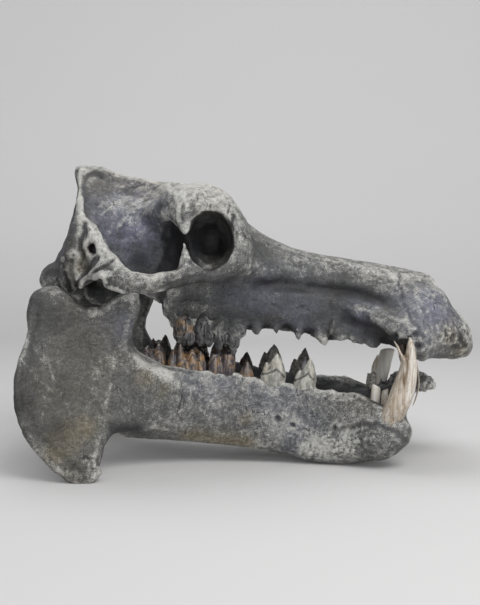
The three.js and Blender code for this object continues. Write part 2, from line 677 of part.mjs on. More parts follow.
// A block far below the floor's level, used to trim the bones to the floor.
const belowFloor = () => solidFrom(new THREE.BoxGeometry(900, 600, 100).translate(0, 0, FLOOR - 50));

function makeMandible() {
  let body = biggest(solid(thin(cast(mandibleField, MANDIBLE_SPACE, BONE_CELL), MANDIBLE_FACES)));
  const teeth = bothSides((side) => LOWER_LOBES.map((place) => lobe(place, side, -1)));
  const stubs = SOCKET_STUBS.map((place) => lobe(place, -1, -1));
  body = body.add(unite([...teeth, ...stubs])).subtract(belowFloor());
  body = body.subtract(tuskShape(RIGHT_TUSK, -1, SEAT_GAP));
  return body.subtract(tuskShape(LEFT_TUSK, 1, SEAT_GAP));
}

function makeCranium() {
  const body = biggest(solid(thin(cast(craniumField, CRANIUM_SPACE, BONE_CELL), CRANIUM_FACES)));
  const teeth = bothSides((side) => UPPER_LOBES.map((place) => lobe(place, side, 1)));
  return body.add(unite(teeth));
}

// Sets one body down on another: the lowest height at which they don't overlap, and a gap.
function setDown(body, on) {
  let [low, high] = [-12, 30];
  while (high - low > 0.02) {
    const middle = (low + high) / 2;
    const overlap = body.translate([0, 0, middle]).intersect(on).volume();
    if (overlap > 0) low = middle;
    else high = middle;
  }
  return body.translate([0, 0, high + SEAT_GAP]);
}

// The right tusk's tip ends in the broken wall of the upper socket, with room round it.
const TIP_ROOM = 1;
const mandible = makeMandible();
const cranium = setDown(makeCranium(), mandible).subtract(tuskShape(RIGHT_TUSK, -1, TIP_ROOM));

// The middle of the skull's length stands over the origin.
const spans = [cranium, mandible].map((body) => body.boundingBox());
const [back, front] = [Math.min(...spans.map((s) => s.min[0])), Math.max(...spans.map((s) => s.max[0]))];

const skull = new THREE.Group();
skull.position.x = -(back + front) / 2;
skull.add(boneMesh("cranium", cranium, 0x8f8c84));
skull.add(boneMesh("mandible", mandible, 0x86837c));
skull.add(boneMesh("tusk_right", tuskShape(RIGHT_TUSK, -1), 0xc9b6a0, 0.5));
skull.add(boneMesh("tusk_left", tuskShape(LEFT_TUSK, 1), 0xd8d2c6, 0.5));

export default skull;
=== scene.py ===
"""A fossil hippopotamus skull: the cranium set down on its jaw, with worn teeth and broken tusks.

Lengths inside the shaping functions are millimetres. The snout points along +X, up is +Z,
and the animal's right side is -Y.
"""

import math

import bmesh
import bpy
import numpy as np
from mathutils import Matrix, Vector
from mathutils.bvhtree import BVHTree


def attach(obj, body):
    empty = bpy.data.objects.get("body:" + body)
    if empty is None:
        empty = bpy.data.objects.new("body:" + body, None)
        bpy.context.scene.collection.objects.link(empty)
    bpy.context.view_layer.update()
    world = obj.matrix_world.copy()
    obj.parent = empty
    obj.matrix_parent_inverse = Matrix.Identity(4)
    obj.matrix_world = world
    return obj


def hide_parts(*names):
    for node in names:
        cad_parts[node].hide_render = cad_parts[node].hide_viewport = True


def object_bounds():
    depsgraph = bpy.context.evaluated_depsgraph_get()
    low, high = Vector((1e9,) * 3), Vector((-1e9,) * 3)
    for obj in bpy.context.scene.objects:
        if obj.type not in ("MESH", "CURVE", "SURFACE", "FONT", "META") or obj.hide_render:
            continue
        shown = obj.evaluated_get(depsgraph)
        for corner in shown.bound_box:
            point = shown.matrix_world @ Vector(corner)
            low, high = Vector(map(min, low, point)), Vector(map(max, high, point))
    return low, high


MM = 0.001
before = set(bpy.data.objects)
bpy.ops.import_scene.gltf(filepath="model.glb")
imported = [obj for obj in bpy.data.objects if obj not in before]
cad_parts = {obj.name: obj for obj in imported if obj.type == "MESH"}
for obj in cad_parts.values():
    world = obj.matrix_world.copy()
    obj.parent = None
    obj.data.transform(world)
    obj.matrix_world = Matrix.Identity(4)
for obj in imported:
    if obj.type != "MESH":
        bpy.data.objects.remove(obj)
cad_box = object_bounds()


# ------------------------------------------------------------------ bench tools
def pick(*objects):
    """Chooses these objects and nothing else; the first is the active one."""
    bpy.ops.object.select_all(action="DESELECT")
    for obj in objects:
        obj.select_set(True)
    bpy.context.view_layer.objects.active = objects[0]


def work(obj, kind, **settings):
    """Puts a modifier on and applies it."""
    tool = obj.modifiers.new(kind.lower(), kind)
    for key, value in settings.items():
        setattr(tool, key, value)
    pick(obj)
    bpy.ops.object.modifier_apply(modifier=tool.name)


def mm(*values):
    return [value * MM for value in values]


def placed(name, data):
    """A new object in the scene."""
    obj = bpy.data.objects.new(name, data)
    bpy.context.scene.collection.objects.link(obj)
    return obj


def added(name):
    """The primitive just added, named and with its place in its mesh."""
    obj = bpy.context.active_object
    obj.name = name
    obj.data.name = name
    bpy.ops.object.transform_apply(location=True, rotation=True, scale=True)
    return obj


def joined(name, parts):
    """One object made of several."""
    pick(*parts)
    if len(parts) > 1:
        bpy.ops.object.join()
    obj = bpy.context.active_object
    obj.name = name
    obj.data.name = name
    return obj


def skin(obj, cell, rounds):
    """One even closed skin over everything in the object, with its facets relaxed."""
    work(obj, "REMESH", mode="VOXEL", voxel_size=cell * MM, adaptivity=0.0)
    # each round shrinks the bumps, then swells the whole back to size
    for factor in (0.5, -0.52) * rounds:
        work(obj, "SMOOTH", factor=factor, iterations=2)


def cut_away(obj, cutter):
    """Breaks a piece off: what the cutter holds is removed."""
    work(obj, "BOOLEAN", operation="DIFFERENCE", object=cutter, solver="EXACT")
    bpy.data.objects.remove(cutter)


def block(centre, size, turn=(0, 0, 0)):
    turn = [math.radians(v) for v in turn]
    bpy.ops.mesh.primitive_cube_add(size=1, location=mm(*centre), rotation=turn, scale=mm(*size))
    return added("cutter")


def read(items, field, width=3, kind=np.float32):
    """One row of numbers for each item of a mesh."""
    flat = np.empty(len(items) * width, kind)
    items.foreach_get(field, flat)
    return flat.reshape(-1, width)


def points_of(obj):
    return read(obj.data.vertices, "co").astype(float) / MM


def put_points(obj, points):
    obj.data.vertices.foreach_set("co", (points * MM).astype(np.float32).ravel())
    obj.data.update()


def normals_of(obj):
    return read(obj.data.vertex_normals, "vector").astype(float)


def smooth_faces(obj, degrees=60):
    pick(obj)
    bpy.ops.object.shade_smooth_by_angle(angle=math.radians(degrees))


# ------------------------------------------------------------------ natural roughness
def lumps(points, size, seed):
    """Smooth random swellings from -1 to 1, the same on every run."""
    q = points / size
    cell = np.floor(q).astype(np.int64)
    f = q - cell
    f = f * f * (3 - 2 * f)
    total = np.zeros(len(points))
    for corner in range(8):
        step = np.array([corner & 1, corner >> 1 & 1, corner >> 2 & 1])
        k = cell + step
        # the cell's place and the seed are scrambled into one even number
        h = k[:, 0] * 73856093 ^ k[:, 1] * 19349663 ^ k[:, 2] * 83492791 ^ seed * 40503
        h = (h & 0xFFFFFFFF) * 2654435761 & 0xFFFFFFFF
        h = (h ^ h >> 15) * 2246822519 & 0xFFFFFFFF
        h = h ^ h >> 13
        weight = np.where(step, f, 1 - f).prod(axis=1)
        total += weight * ((h & 0xFFFF) / 32767.5 - 1)
    return total


def grain(points, size, seed, layers=3):
    total = np.zeros(len(points))
    for k in range(layers):
        total += lumps(points, size / 2**k, seed + 17 * k) / 1.8**k
    return total


def ramp(value, low, high):
    """0 below low, 1 above high, eased in between."""
    t = np.clip((value - low) / (high - low), 0, 1)
    return t * t * (3 - 2 * t)


def fade(value, low, high):
    """1 below low, 0 above high."""
    return 1 - ramp(value, low, high)


def window(value, low, full, still_full, high):
    """1 between the middle two, eased to 0 at the outer two."""
    return ramp(value, low, full) * fade(value, still_full, high)


def from_line(points, line):
    """Distance from each point to a bent line."""
    best = np.full(len(points), 1e9)
    line = np.array(line, float)
    for a, b in zip(line[:-1], line[1:]):
        d = b - a
        t = np.clip((points - a) @ d / max(d @ d, 1e-9), 0, 1)
        best = np.minimum(best, np.linalg.norm(points - a - t[:, None] * d, axis=1))
    return best


def other_side(line):
    return [(x, -y, z) for x, y, z in line]


def wander(points, amount=1.6, size=9.0, seed=5):
    """The points shaken a little, so that lines and edges measured from them run unevenly."""
    shake = np.stack([lumps(points, size, seed + k) for k in range(3)], axis=1)
    return points + amount * shake


def near_lines(points, lines, width, both=True):
    """1 on any of the lines, falling to 0 over the width."""
    total = np.zeros(len(points))
    for line in lines:
        for way in (line, other_side(line)) if both else (line,):
            total = np.maximum(total, np.exp(-((from_line(points, way) / width) ** 2)))
    return total


def drawn(points, lines, width, inner, blend=8):
    """1 on lines drawn in x and z on both flanks, further out than the inner distance."""
    flat = points * [1, 0, 1]
    total = np.zeros(len(points))
    for line in lines:
        away = from_line(flat, [(x, 0, z) for x, z in line])
        total = np.maximum(total, np.exp(-((away / width) ** 2)))
    return total * ramp(np.abs(points[:, 1]), inner - blend, inner)


def near_spots(points, spots):
    """Soft round spots on both sides: x, y, z, radius."""
    total = np.zeros(len(points))
    for x, y, z, radius in spots:
        for side in (1, -1):
            d = np.linalg.norm(points - np.array([x, side * y, z]), axis=1)
            total = np.maximum(total, np.exp(-((d / radius) ** 2)))
    return total


def strokes(points, marks):
    """Each mark at its strength. A mark is (strength, spots), (strength, lines, width), or, drawn
    on the flanks, (strength, lines, width, inner)."""
    for strength, places, *rest in marks:
        brush = (near_spots, near_lines, drawn)[len(rest)]
        yield strength * brush(points, places, *rest)


def marked(points, *marks):
    """The marks added up."""
    return sum(strokes(points, marks))


def deepest(mask, points, *marks):
    """At each point the mask or the strongest of the marks."""
    for stroke in strokes(points, marks):
        mask = np.maximum(mask, stroke)
    return mask


# ------------------------------------------------------------------ reading the surface
def edges_of(obj):
    return read(obj.data.edges, "vertices", 2, np.int32)


def evened(obj, rows, share, rounds):
    """The points' numbers, each moved by a share towards the mean of its neighbours."""
    a, b = edges_of(obj).T
    count = np.maximum(np.bincount(np.concatenate([a, b]), minlength=len(rows)), 1)
    columns = list(rows.T)
    for _ in range(rounds):
        for k, old in enumerate(columns):
            near = np.bincount(a, old[b], len(old)) + np.bincount(b, old[a], len(old))
            columns[k] = old + share * (near / count - old)
    return np.stack(columns, axis=1)


def hollowness(obj, rounds):
    """How far each point lies below its surroundings, in mm: above 0 in hollows, below 0 on edges."""
    points = points_of(obj)
    soft = evened(obj, points, 0.7, rounds)
    return ((soft - points) * normals_of(obj)).sum(axis=1)


VIEW_WAYS = 14
GOLDEN_TURN = 2.39996
# how far off the surface a look starts, mm
LIFT = 1.5


def openness(obj, others=(), reach=130):
    """The share of the view around each point that is open, from 0 in a deep hole to 1."""
    tree = bmesh.new()
    for each in (obj, *others):
        tree.from_mesh(each.data)
    bvh = BVHTree.FromBMesh(tree)
    tree.free()
    points = points_of(obj)
    normals = normals_of(obj)
    ways = []
    for k in range(VIEW_WAYS):
        up = 1 - (2 * k + 1) / VIEW_WAYS
        turn = k * GOLDEN_TURN
        flat = math.sqrt(1 - up * up)
        ways.append((flat * math.cos(turn), flat * math.sin(turn), up))
    seen = np.zeros(len(points))
    total = np.zeros(len(points))
    start = (points + normals * LIFT) * MM
    for way in ways:
        facing = normals @ np.array(way)
        use = np.nonzero(facing > 0.1)[0]
        direction = Vector(way)
        for i in use:
            weight = facing[i]
            total[i] += weight
            if bvh.ray_cast(Vector(start[i]), direction, reach * MM)[0] is None:
                seen[i] += weight
    share = seen / np.maximum(total, 1e-6)
    return evened(obj, share[:, None], 0.6, 3)[:, 0]


def tint(obj, *masks):
    """Four painted masks, kept on the mesh for the materials; besides stains and wear they carry painted top light and
    painted shade.
    """
    layer = obj.data.attributes.new("patina_and_painted_light", "FLOAT_COLOR", "POINT")
    values = np.stack([np.clip(mask, 0, 1) * np.ones(len(obj.data.vertices)) for mask in masks], axis=1)
    layer.data.foreach_set("color", values.astype(np.float32).ravel())


# ------------------------------------------------------------------ bones
# the finest cells that keep each bone under 200,000 triangles
CRANIUM_CELL = 2.85
JAW_CELL = 2.52
# where little of the view is open, the bone falls into shade
SHADED, LIT = 0.06, 0.46
# how much of the pale weathering and painted top light the painted shade hides
PALE_LOST_IN_SHADE = 0.4


def bone_cast(node, name):
    """A copy of a bone's solid, its loose triangles merged."""
    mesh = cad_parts[node].data.copy()
    mesh.materials.clear()
    obj = placed(name, mesh)
    pick(obj)
    bpy.ops.object.mode_set(mode="EDIT")
    bpy.ops.mesh.select_all(action="SELECT")
    bpy.ops.mesh.remove_doubles(threshold=0.02 * MM)
    bpy.ops.object.mode_set(mode="OBJECT")
    return obj


def egg(centre, radii):
    """A lump of bone to be fused on."""
    bpy.ops.mesh.primitive_uv_sphere_add(
        segments=20, ring_count=12, radius=1, location=mm(*centre), scale=mm(*radii)
    )
    return added("lump")


def eased_inside(points, room=2.2):
    """Eases the outermost points in, so that no bone passes the box of the solids."""
    inside = points.copy()
    for axis in range(3):
        for way, limit in ((1, cad_box[1][axis] / MM), (-1, cad_box[0][axis] / MM)):
            if (axis, way) == (2, -1):
                continue
            past = np.clip(way * (points[:, axis] - limit) + room, 0, None)
            inside[:, axis] -= way * (past - room * (1 - np.exp(-past / room)))
    return inside


def press_in(obj, centre, radii):
    """Presses a rounded hollow into a bone, as a thumb would into clay, towards the middle plane."""
    points = points_of(obj)
    away = (points - np.array(centre)) / np.array(radii)
    depth = np.clip(1 - away[:, 0] ** 2 - away[:, 2] ** 2, 0, None) ** 0.5 * radii[1]
    outer = points[:, 1] * np.sign(centre[1])
    near = (np.abs(away[:, 1]) < 2.2) & (depth > 0)
    points[near, 1] -= np.sign(centre[1]) * depth[near] * np.clip(outer[near] / 60, 0, 1)
    put_points(obj, points)


def take_out_teeth(obj, sits, side_low, side_high):
    """Presses the solid's plain tooth blocks back to the bone: sits(points) gives the new level."""
    points = points_of(obj)
    level, lift = sits(points)
    inside = (np.abs(points[:, 1]) > side_low) & (np.abs(points[:, 1]) < side_high) & lift
    points[inside, 2] = level[inside]
    put_points(obj, points)


def jaw_gum(points):
    """The level of the lower tooth sockets, and which points stand above it."""
    x, z = points[:, 0], points[:, 2]
    level = np.interp(x, [-175, -142, -75, -26, 12, 65, 95], [152, 143, 132, 128, 119, 113, 112])
    return level, (x > -172) & (x < 99) & (z > level)


def upper_gum(points):
    x, z = points[:, 0], points[:, 2]
    level = np.interp(x, [-120, -60, -50, -5], [192, 190, 182, 180])
    return level, (x > -126) & (x < -2) & (z < level)


# Lines on the right side of the cranium, each mirrored to the left. x, y, z.
RIM_INSIDE = [
    (-216, -17, 406), (-226, -22, 408), (-234, -34, 405), (-236, -46, 396), (-235, -59, 384),
    (-233, -69, 372), (-229, -77, 359), (-227, -86, 345), (-222, -104, 334),
]
RIM_OUTSIDE = [
    (-237, -10, 420), (-247, -23, 411), (-250, -40, 398), (-249, -60, 386), (-246, -70, 374),
    (-241, -79, 364), (-237, -88, 355), (-233, -97, 344), (-229, -106, 337),
]
CREST_TOP = [
    (-237, 0, 418), (-206, 0, 413), (-185, 0, 407), (-163, 0, 401), (-141, 0, 396), (-120, 0, 391),
]
BROW_LINE = [
    (-127, -12, 392), (-112, -60, 390), (-104, -92, 382), (-96, -113, 372), (-90, -123, 361),
    (-88, -127, 347), (-90, -129, 335), (-91, -130, 326),
]
TEMPLE_HOLLOW = [(-176, -22, 384), (-150, -32, 380), (-128, -46, 374), (-114, -62, 364), (-108, -76, 352)]
# the front edge of the braincase, beyond which the hollow falls into shade: z, x
BRAINCASE_FRONT = [(271, -140), (293, -129), (322, -120), (350, -116)]
# on the flank, x and z
EAR_RIDGES = [
    [(-226, 312), (-222, 316), (-215, 316), (-208, 312), (-206, 304)],
    [(-248, 296), (-243, 300), (-236, 298)], [(-257, 290), (-263, 286), (-266, 279)],
    [(-252, 274), (-250, 262), (-250, 250)],
    [(-238, 254), (-228, 263), (-214, 269), (-201, 272), (-196, 267), (-194, 255), (-180, 252), (-171, 248)],
]
EAR_GROOVES = [
    [(-228, 339), (-226, 326), (-232, 314), (-234, 302), (-229, 292)],
    [(-207, 294), (-214, 282), (-224, 271), (-240, 254)],
    [(-255, 272), (-252, 247)], [(-260, 281), (-260, 279)],
]
EAR_HOLE = [[(-215, 304), (-214, 303)]]
EAR_KNOB = [[(-243, 290), (-240, 276)]]
CHIN_FOLD = [[(111, 52), (127, 57), (148, 64), (170, 65), (193, 57), (205, 44)]]
ROOT_CREST = [
    (-229, -108, 337), (-218, -117, 326), (-205, -132, 312), (-194, -146, 300), (-184, -157, 289),
    (-177, -165, 279), (-170, -170, 272),
]
MASTOID_EDGE = [(-231, -103, 339), (-232, -114, 322), (-233, -122, 305), (-233, -126, 291), (-240, -118, 270)]
JOINT_CRACK = [
    (-254, -92, 245), (-236, -144, 255), (-225, -145, 263), (-213, -158, 270), (-201, -166, 277),
    (-190, -166, 285), (-182, -163, 291),
]
JOINT_LIP = [(-245, -98, 243), (-228, -147, 254), (-217, -151, 261), (-201, -167, 269), (-190, -170, 272)]
ARCH_GROOVE = [
    (-147, -177, 241), (-133, -179, 247), (-122, -176, 252), (-110, -172, 257), (-95, -165, 262),
    (-78, -154, 266), (-60, -143, 268),
]
ARCH_EDGE = [(-140, -174, 240), (-116, -174, 248), (-97, -167, 256), (-80, -156, 261), (-60, -143, 262)]
CHEEK_LEDGE = [
    (-89, -161, 255), (-72, -151, 257), (-52, -136, 257), (-32, -112, 255), (-12, -96, 255), (6, -84, 255),
]
TEAR_FOLDS = [
    [(-36, -121, 353), (-34, -118, 335), (-35, -100, 315), (-40, -90, 298)],
    [(-32, -120, 350), (-27, -120, 331), (-21, -118, 315), (-20, -108, 297), (-26, -100, 284)],
    [(-29, -119, 349), (-19, -110, 334), (-7, -96, 318), (7, -75, 303), (14, -70, 290)],
    [(-27, -117, 343), (-11, -92, 332), (4, -66, 320), (21, -50, 309)],
    [(-31, -120, 340), (-30, -119, 322), (-30, -110, 305)],
]
NASAL_SEAM = [(12, -36, 312), (53, -33, 295), (96, -32, 283), (139, -31, 275), (181, -33, 269), (222, -34, 262)]
SNOUT_HOLLOW = [
    (6, -77, 250), (44, -66, 252), (87, -58, 249), (122, -55, 246), (150, -59, 241), (177, -68, 233),
]
SNOUT_HOLLOW_LOW = [(50, -66, 226), (80, -63, 224), (108, -61, 222), (138, -69, 219)]
TUSK_RIDGE = [(112, -63, 226), (141, -75, 219), (160, -91, 211), (175, -107, 202), (188, -117, 190)]
TUSK_HOLLOW = [(122, -70, 210), (141, -80, 195), (160, -80, 184), (181, -84, 174), (194, -88, 168)]
SHELF = [(219, -84, 232), (243, -88, 227), (262, -82, 224), (280, -70, 222)]
LONG_HOLLOW = [[(79, 252), (108, 247), (135, 242), (162, 238), (180, 230), (192, 221)]]
LIT_RIDGE = [[(126, 208), (145, 222), (179, 217), (206, 203), (219, 187)]]
DEEP_HOLLOW = [[(122, 204), (153, 198), (171, 187), (190, 171)]]
FRONT_SEAM = [[
    (209, 264), (204, 254), (208, 243), (205, 232), (213, 219), (213, 209), (223, 199), (224, 191), (233, 184),
]]
NERVE_HOLES = [[(191, 186), (192, 187)], [(218, 189), (219, 190)], [(225, 169), (226, 170)]]
TEMPLE_LINE = [[(-189, 405), (-150, 397), (-107, 379), (-99, 356), (-100, 336)]]
VEINS = [
    [(-204, 296), (-196, 322), (-178, 346), (-172, 362)], [(-150, 284), (-162, 314), (-146, 340), (-138, 366)],
    [(-188, 270), (-160, 296), (-134, 318)], [(-196, 322), (-170, 318), (-152, 330)],
    [(-212, 350), (-190, 372), (-160, 384)],
]
HAIR_CRACKS = [
    [(-211, -38, 379), (-198, -23, 384), (-180, -14, 389), (-156, -10, 394)],
    [(-189, -60, 331), (-184, -59, 329), (-177, -56, 334), (-179, -54, 344), (-172, -47, 353)],
    [(-176, -59, 309), (-165, -58, 305), (-155, -56, 298), (-162, -58, 316), (-169, -57, 326)],
    [(-232, -60, 386), (-226, -64, 372), (-219, -62, 362)],
    [(-236, -64, 380), (-229, -66, 368), (-226, -66, 380), (-222, -60, 392)],
]
# walls left standing along the upper tooth row, and the open sockets between them: x, z, radii
SOCKET_WALLS = [
    (5, 195, (9, 7, 14)), (32, 194, (6, 7, 13)), (64, 187, (7, 7, 15)), (93, 184, (8, 7, 13)), (101, 183, (6, 7, 18)),
    (124, 191, (18, 7, 18)), (146, 188, (18, 7, 19)), (168, 184, (18, 7, 20)),
]
BROKEN_SOCKETS = [
    (18, 190, (7, 6, 7)), (47, 191, (8, 7, 8)), (77, 184, (7, 6, 7)),
]
# the broken lower edge between the sockets: x, z
UPPER_EDGE = [
    (8, 186), (23, 194.7), (28, 190), (33, 182), (37, 190), (48, 196), (57, 188), (61, 173.6), (67, 172.5), (71, 184),
    (78, 186), (83, 178), (91, 173.6), (100, 166.5), (106, 171), (126, 175), (146, 171), (165, 165),
]


def shape_cranium(bone):
    """The cranium's finer forms: rims, seams, hollows, pits and broken edges."""
    p = points_of(bone)
    n = normals_of(bone)
    w = wander(p, 1.8)
    cut = np.zeros(len(p))
    cut += marked(
        w,
        # the neck crest's raised border, the brow and the hollow of the temple
        (3, [RIM_INSIDE], 5),
        (-1.6, [RIM_OUTSIDE], 4),
        (-2.6, [BROW_LINE], 4),
        (5, [TEMPLE_HOLLOW], 10),
        # the arch's root and the bone around the ear
        (-2.4, [ROOT_CREST], 4),
        (-3.4, EAR_RIDGES, 3.6, 60),
        (4.4, EAR_GROOVES, 3.2, 60),
        (5, EAR_HOLE, 5, 90),
    )
    cut -= 0.7 * near_lines(w, [CREST_TOP], 6, False)
    knob = drawn(w, EAR_KNOB, 11, 70)
    cut -= knob * (3.0 + 2.4 * lumps(p, 7, 64) + 1.6 * lumps(p, 4, 65))
    cut += marked(
        w,
        (-1.8, [MASTOID_EDGE], 3.5),
        (2.6, [JOINT_CRACK], 2.4),
        (-3.4, [JOINT_LIP], 3.6),
        (3, [(-203, -147, 294, 5), (-199, -142, 300, 5)]),
        (4, [(-214, -148, 254, 12), (-202, -160, 262, 8)]),
        # cheek arch
        (2.2, [ARCH_GROOVE], 3.2),
        (-1.6, [ARCH_EDGE], 3.4),
        (-2, [CHEEK_LEDGE], 5),
        # folds in front of the eye
        (2.6, TEAR_FOLDS, 2.8),
        (1.9, [NASAL_SEAM], 2.2),
        # the long hollow on the snout, the tusk root's ridge and the hollow under it
        (6.5, [SNOUT_HOLLOW], 7.5),
        (1.6, [SNOUT_HOLLOW_LOW], 8),
        (-2.6, [TUSK_RIDGE], 6),
        (4, [TUSK_HOLLOW], 11),
        (3.4, LONG_HOLLOW, 9, 40),
        (-1.3, LIT_RIDGE, 6, 50),
        (3.2, DEEP_HOLLOW, 9, 50),
        (1.2, FRONT_SEAM, 2.2, 34),
        (4, NERVE_HOLES, 3, 60),
        (-0.9, TEMPLE_LINE, 2.4, 14),
        (1.2, [SHELF], 4),
    )
    cut -= 1.3 * near_lines(w + [3.5, 0, 1.5], TEAR_FOLDS, 2.6)
    cut += 1.1 * near_lines(w, [[(20, 0, 319), (70, 0, 299), (143, 0, 285), (246, 0, 269)]], 2.2, False)
    cut += 1.3 * near_lines(w, HAIR_CRACKS, 1.7, False)
    # small openings for nerves and vessels
    holes = [(68, -68, 220, 3.6), (222, -119, 173, 5), (190, -118, 184, 3.4), (210, -122, 184, 3), (40, -68, 232, 3)]
    cut += 4 * near_spots(w, [*holes, (-40, -120, 268, 2.6)])
    # the ragged edge between the broken tooth sockets
    edge = window(p[:, 0], -5, 8, 150, 170) * fade(p[:, 2], 182, 196)
    edge *= ramp(np.abs(p[:, 1]), 30, 44)
    cut += edge * (1.5 * grain(p, 11, 61) + 0.9 * lumps(p, 4.5, 62))
    # spongy broken bone: tip of the snout, bone behind the ear, brow pits, joint ball
    sponge = deepest(
        0,
        p,
        (1, [(267, -88, 184, 17), (280, -76, 174, 18), (294, -70, 184, 14), (284, -66, 162, 14)]),
        (0.9, [(-230, -124, 286, 16), (-236, -118, 268, 12)]),
        (0.55, [(-83, -118, 366, 15), (-68, -112, 378, 12), (-52, -120, 372, 12)]),
    )
    pores = np.abs(lumps(p, 5.2, 71)) + 0.7 * np.abs(lumps(p, 3.4, 72))
    cut += sponge * (2.4 * (0.45 - pores) + 1.6 * lumps(p, 13, 73))
    # pitted, scalloped bone over the first upper molar
    cut += edge * 1.6 * np.abs(lumps(p * [1, 0.3, 1], 6, 63))
    pitted = near_spots(p, [(-50, -76, 186, 13), (-36, -78, 184, 14), (-22, -76, 185, 13)])
    cut += pitted * (4.2 * (0.42 - pores) + 1.8 * lumps(p, 8, 74))
    # bone is never quite even
    cut += 0.8 * grain(p, 34, 11) + 0.5 * grain(p, 9, 12) + 0.3 * lumps(p, 4.2, 13)
    q = p - n * cut[:, None]
    level = np.interp(q[:, 0], *np.array(UPPER_EDGE).T) + 1.2 * lumps(p * [1, 0, 1], 5, 77) + 0.6 * lumps(p, 3, 78)
    low = (q[:, 0] > 8) & (q[:, 0] < 165) & (np.abs(q[:, 1]) > 28) & (q[:, 2] < level)
    q[low, 2] = level[low] + 0.15 * (q[low, 2] - level[low])
    put_points(bone, eased_inside(q))


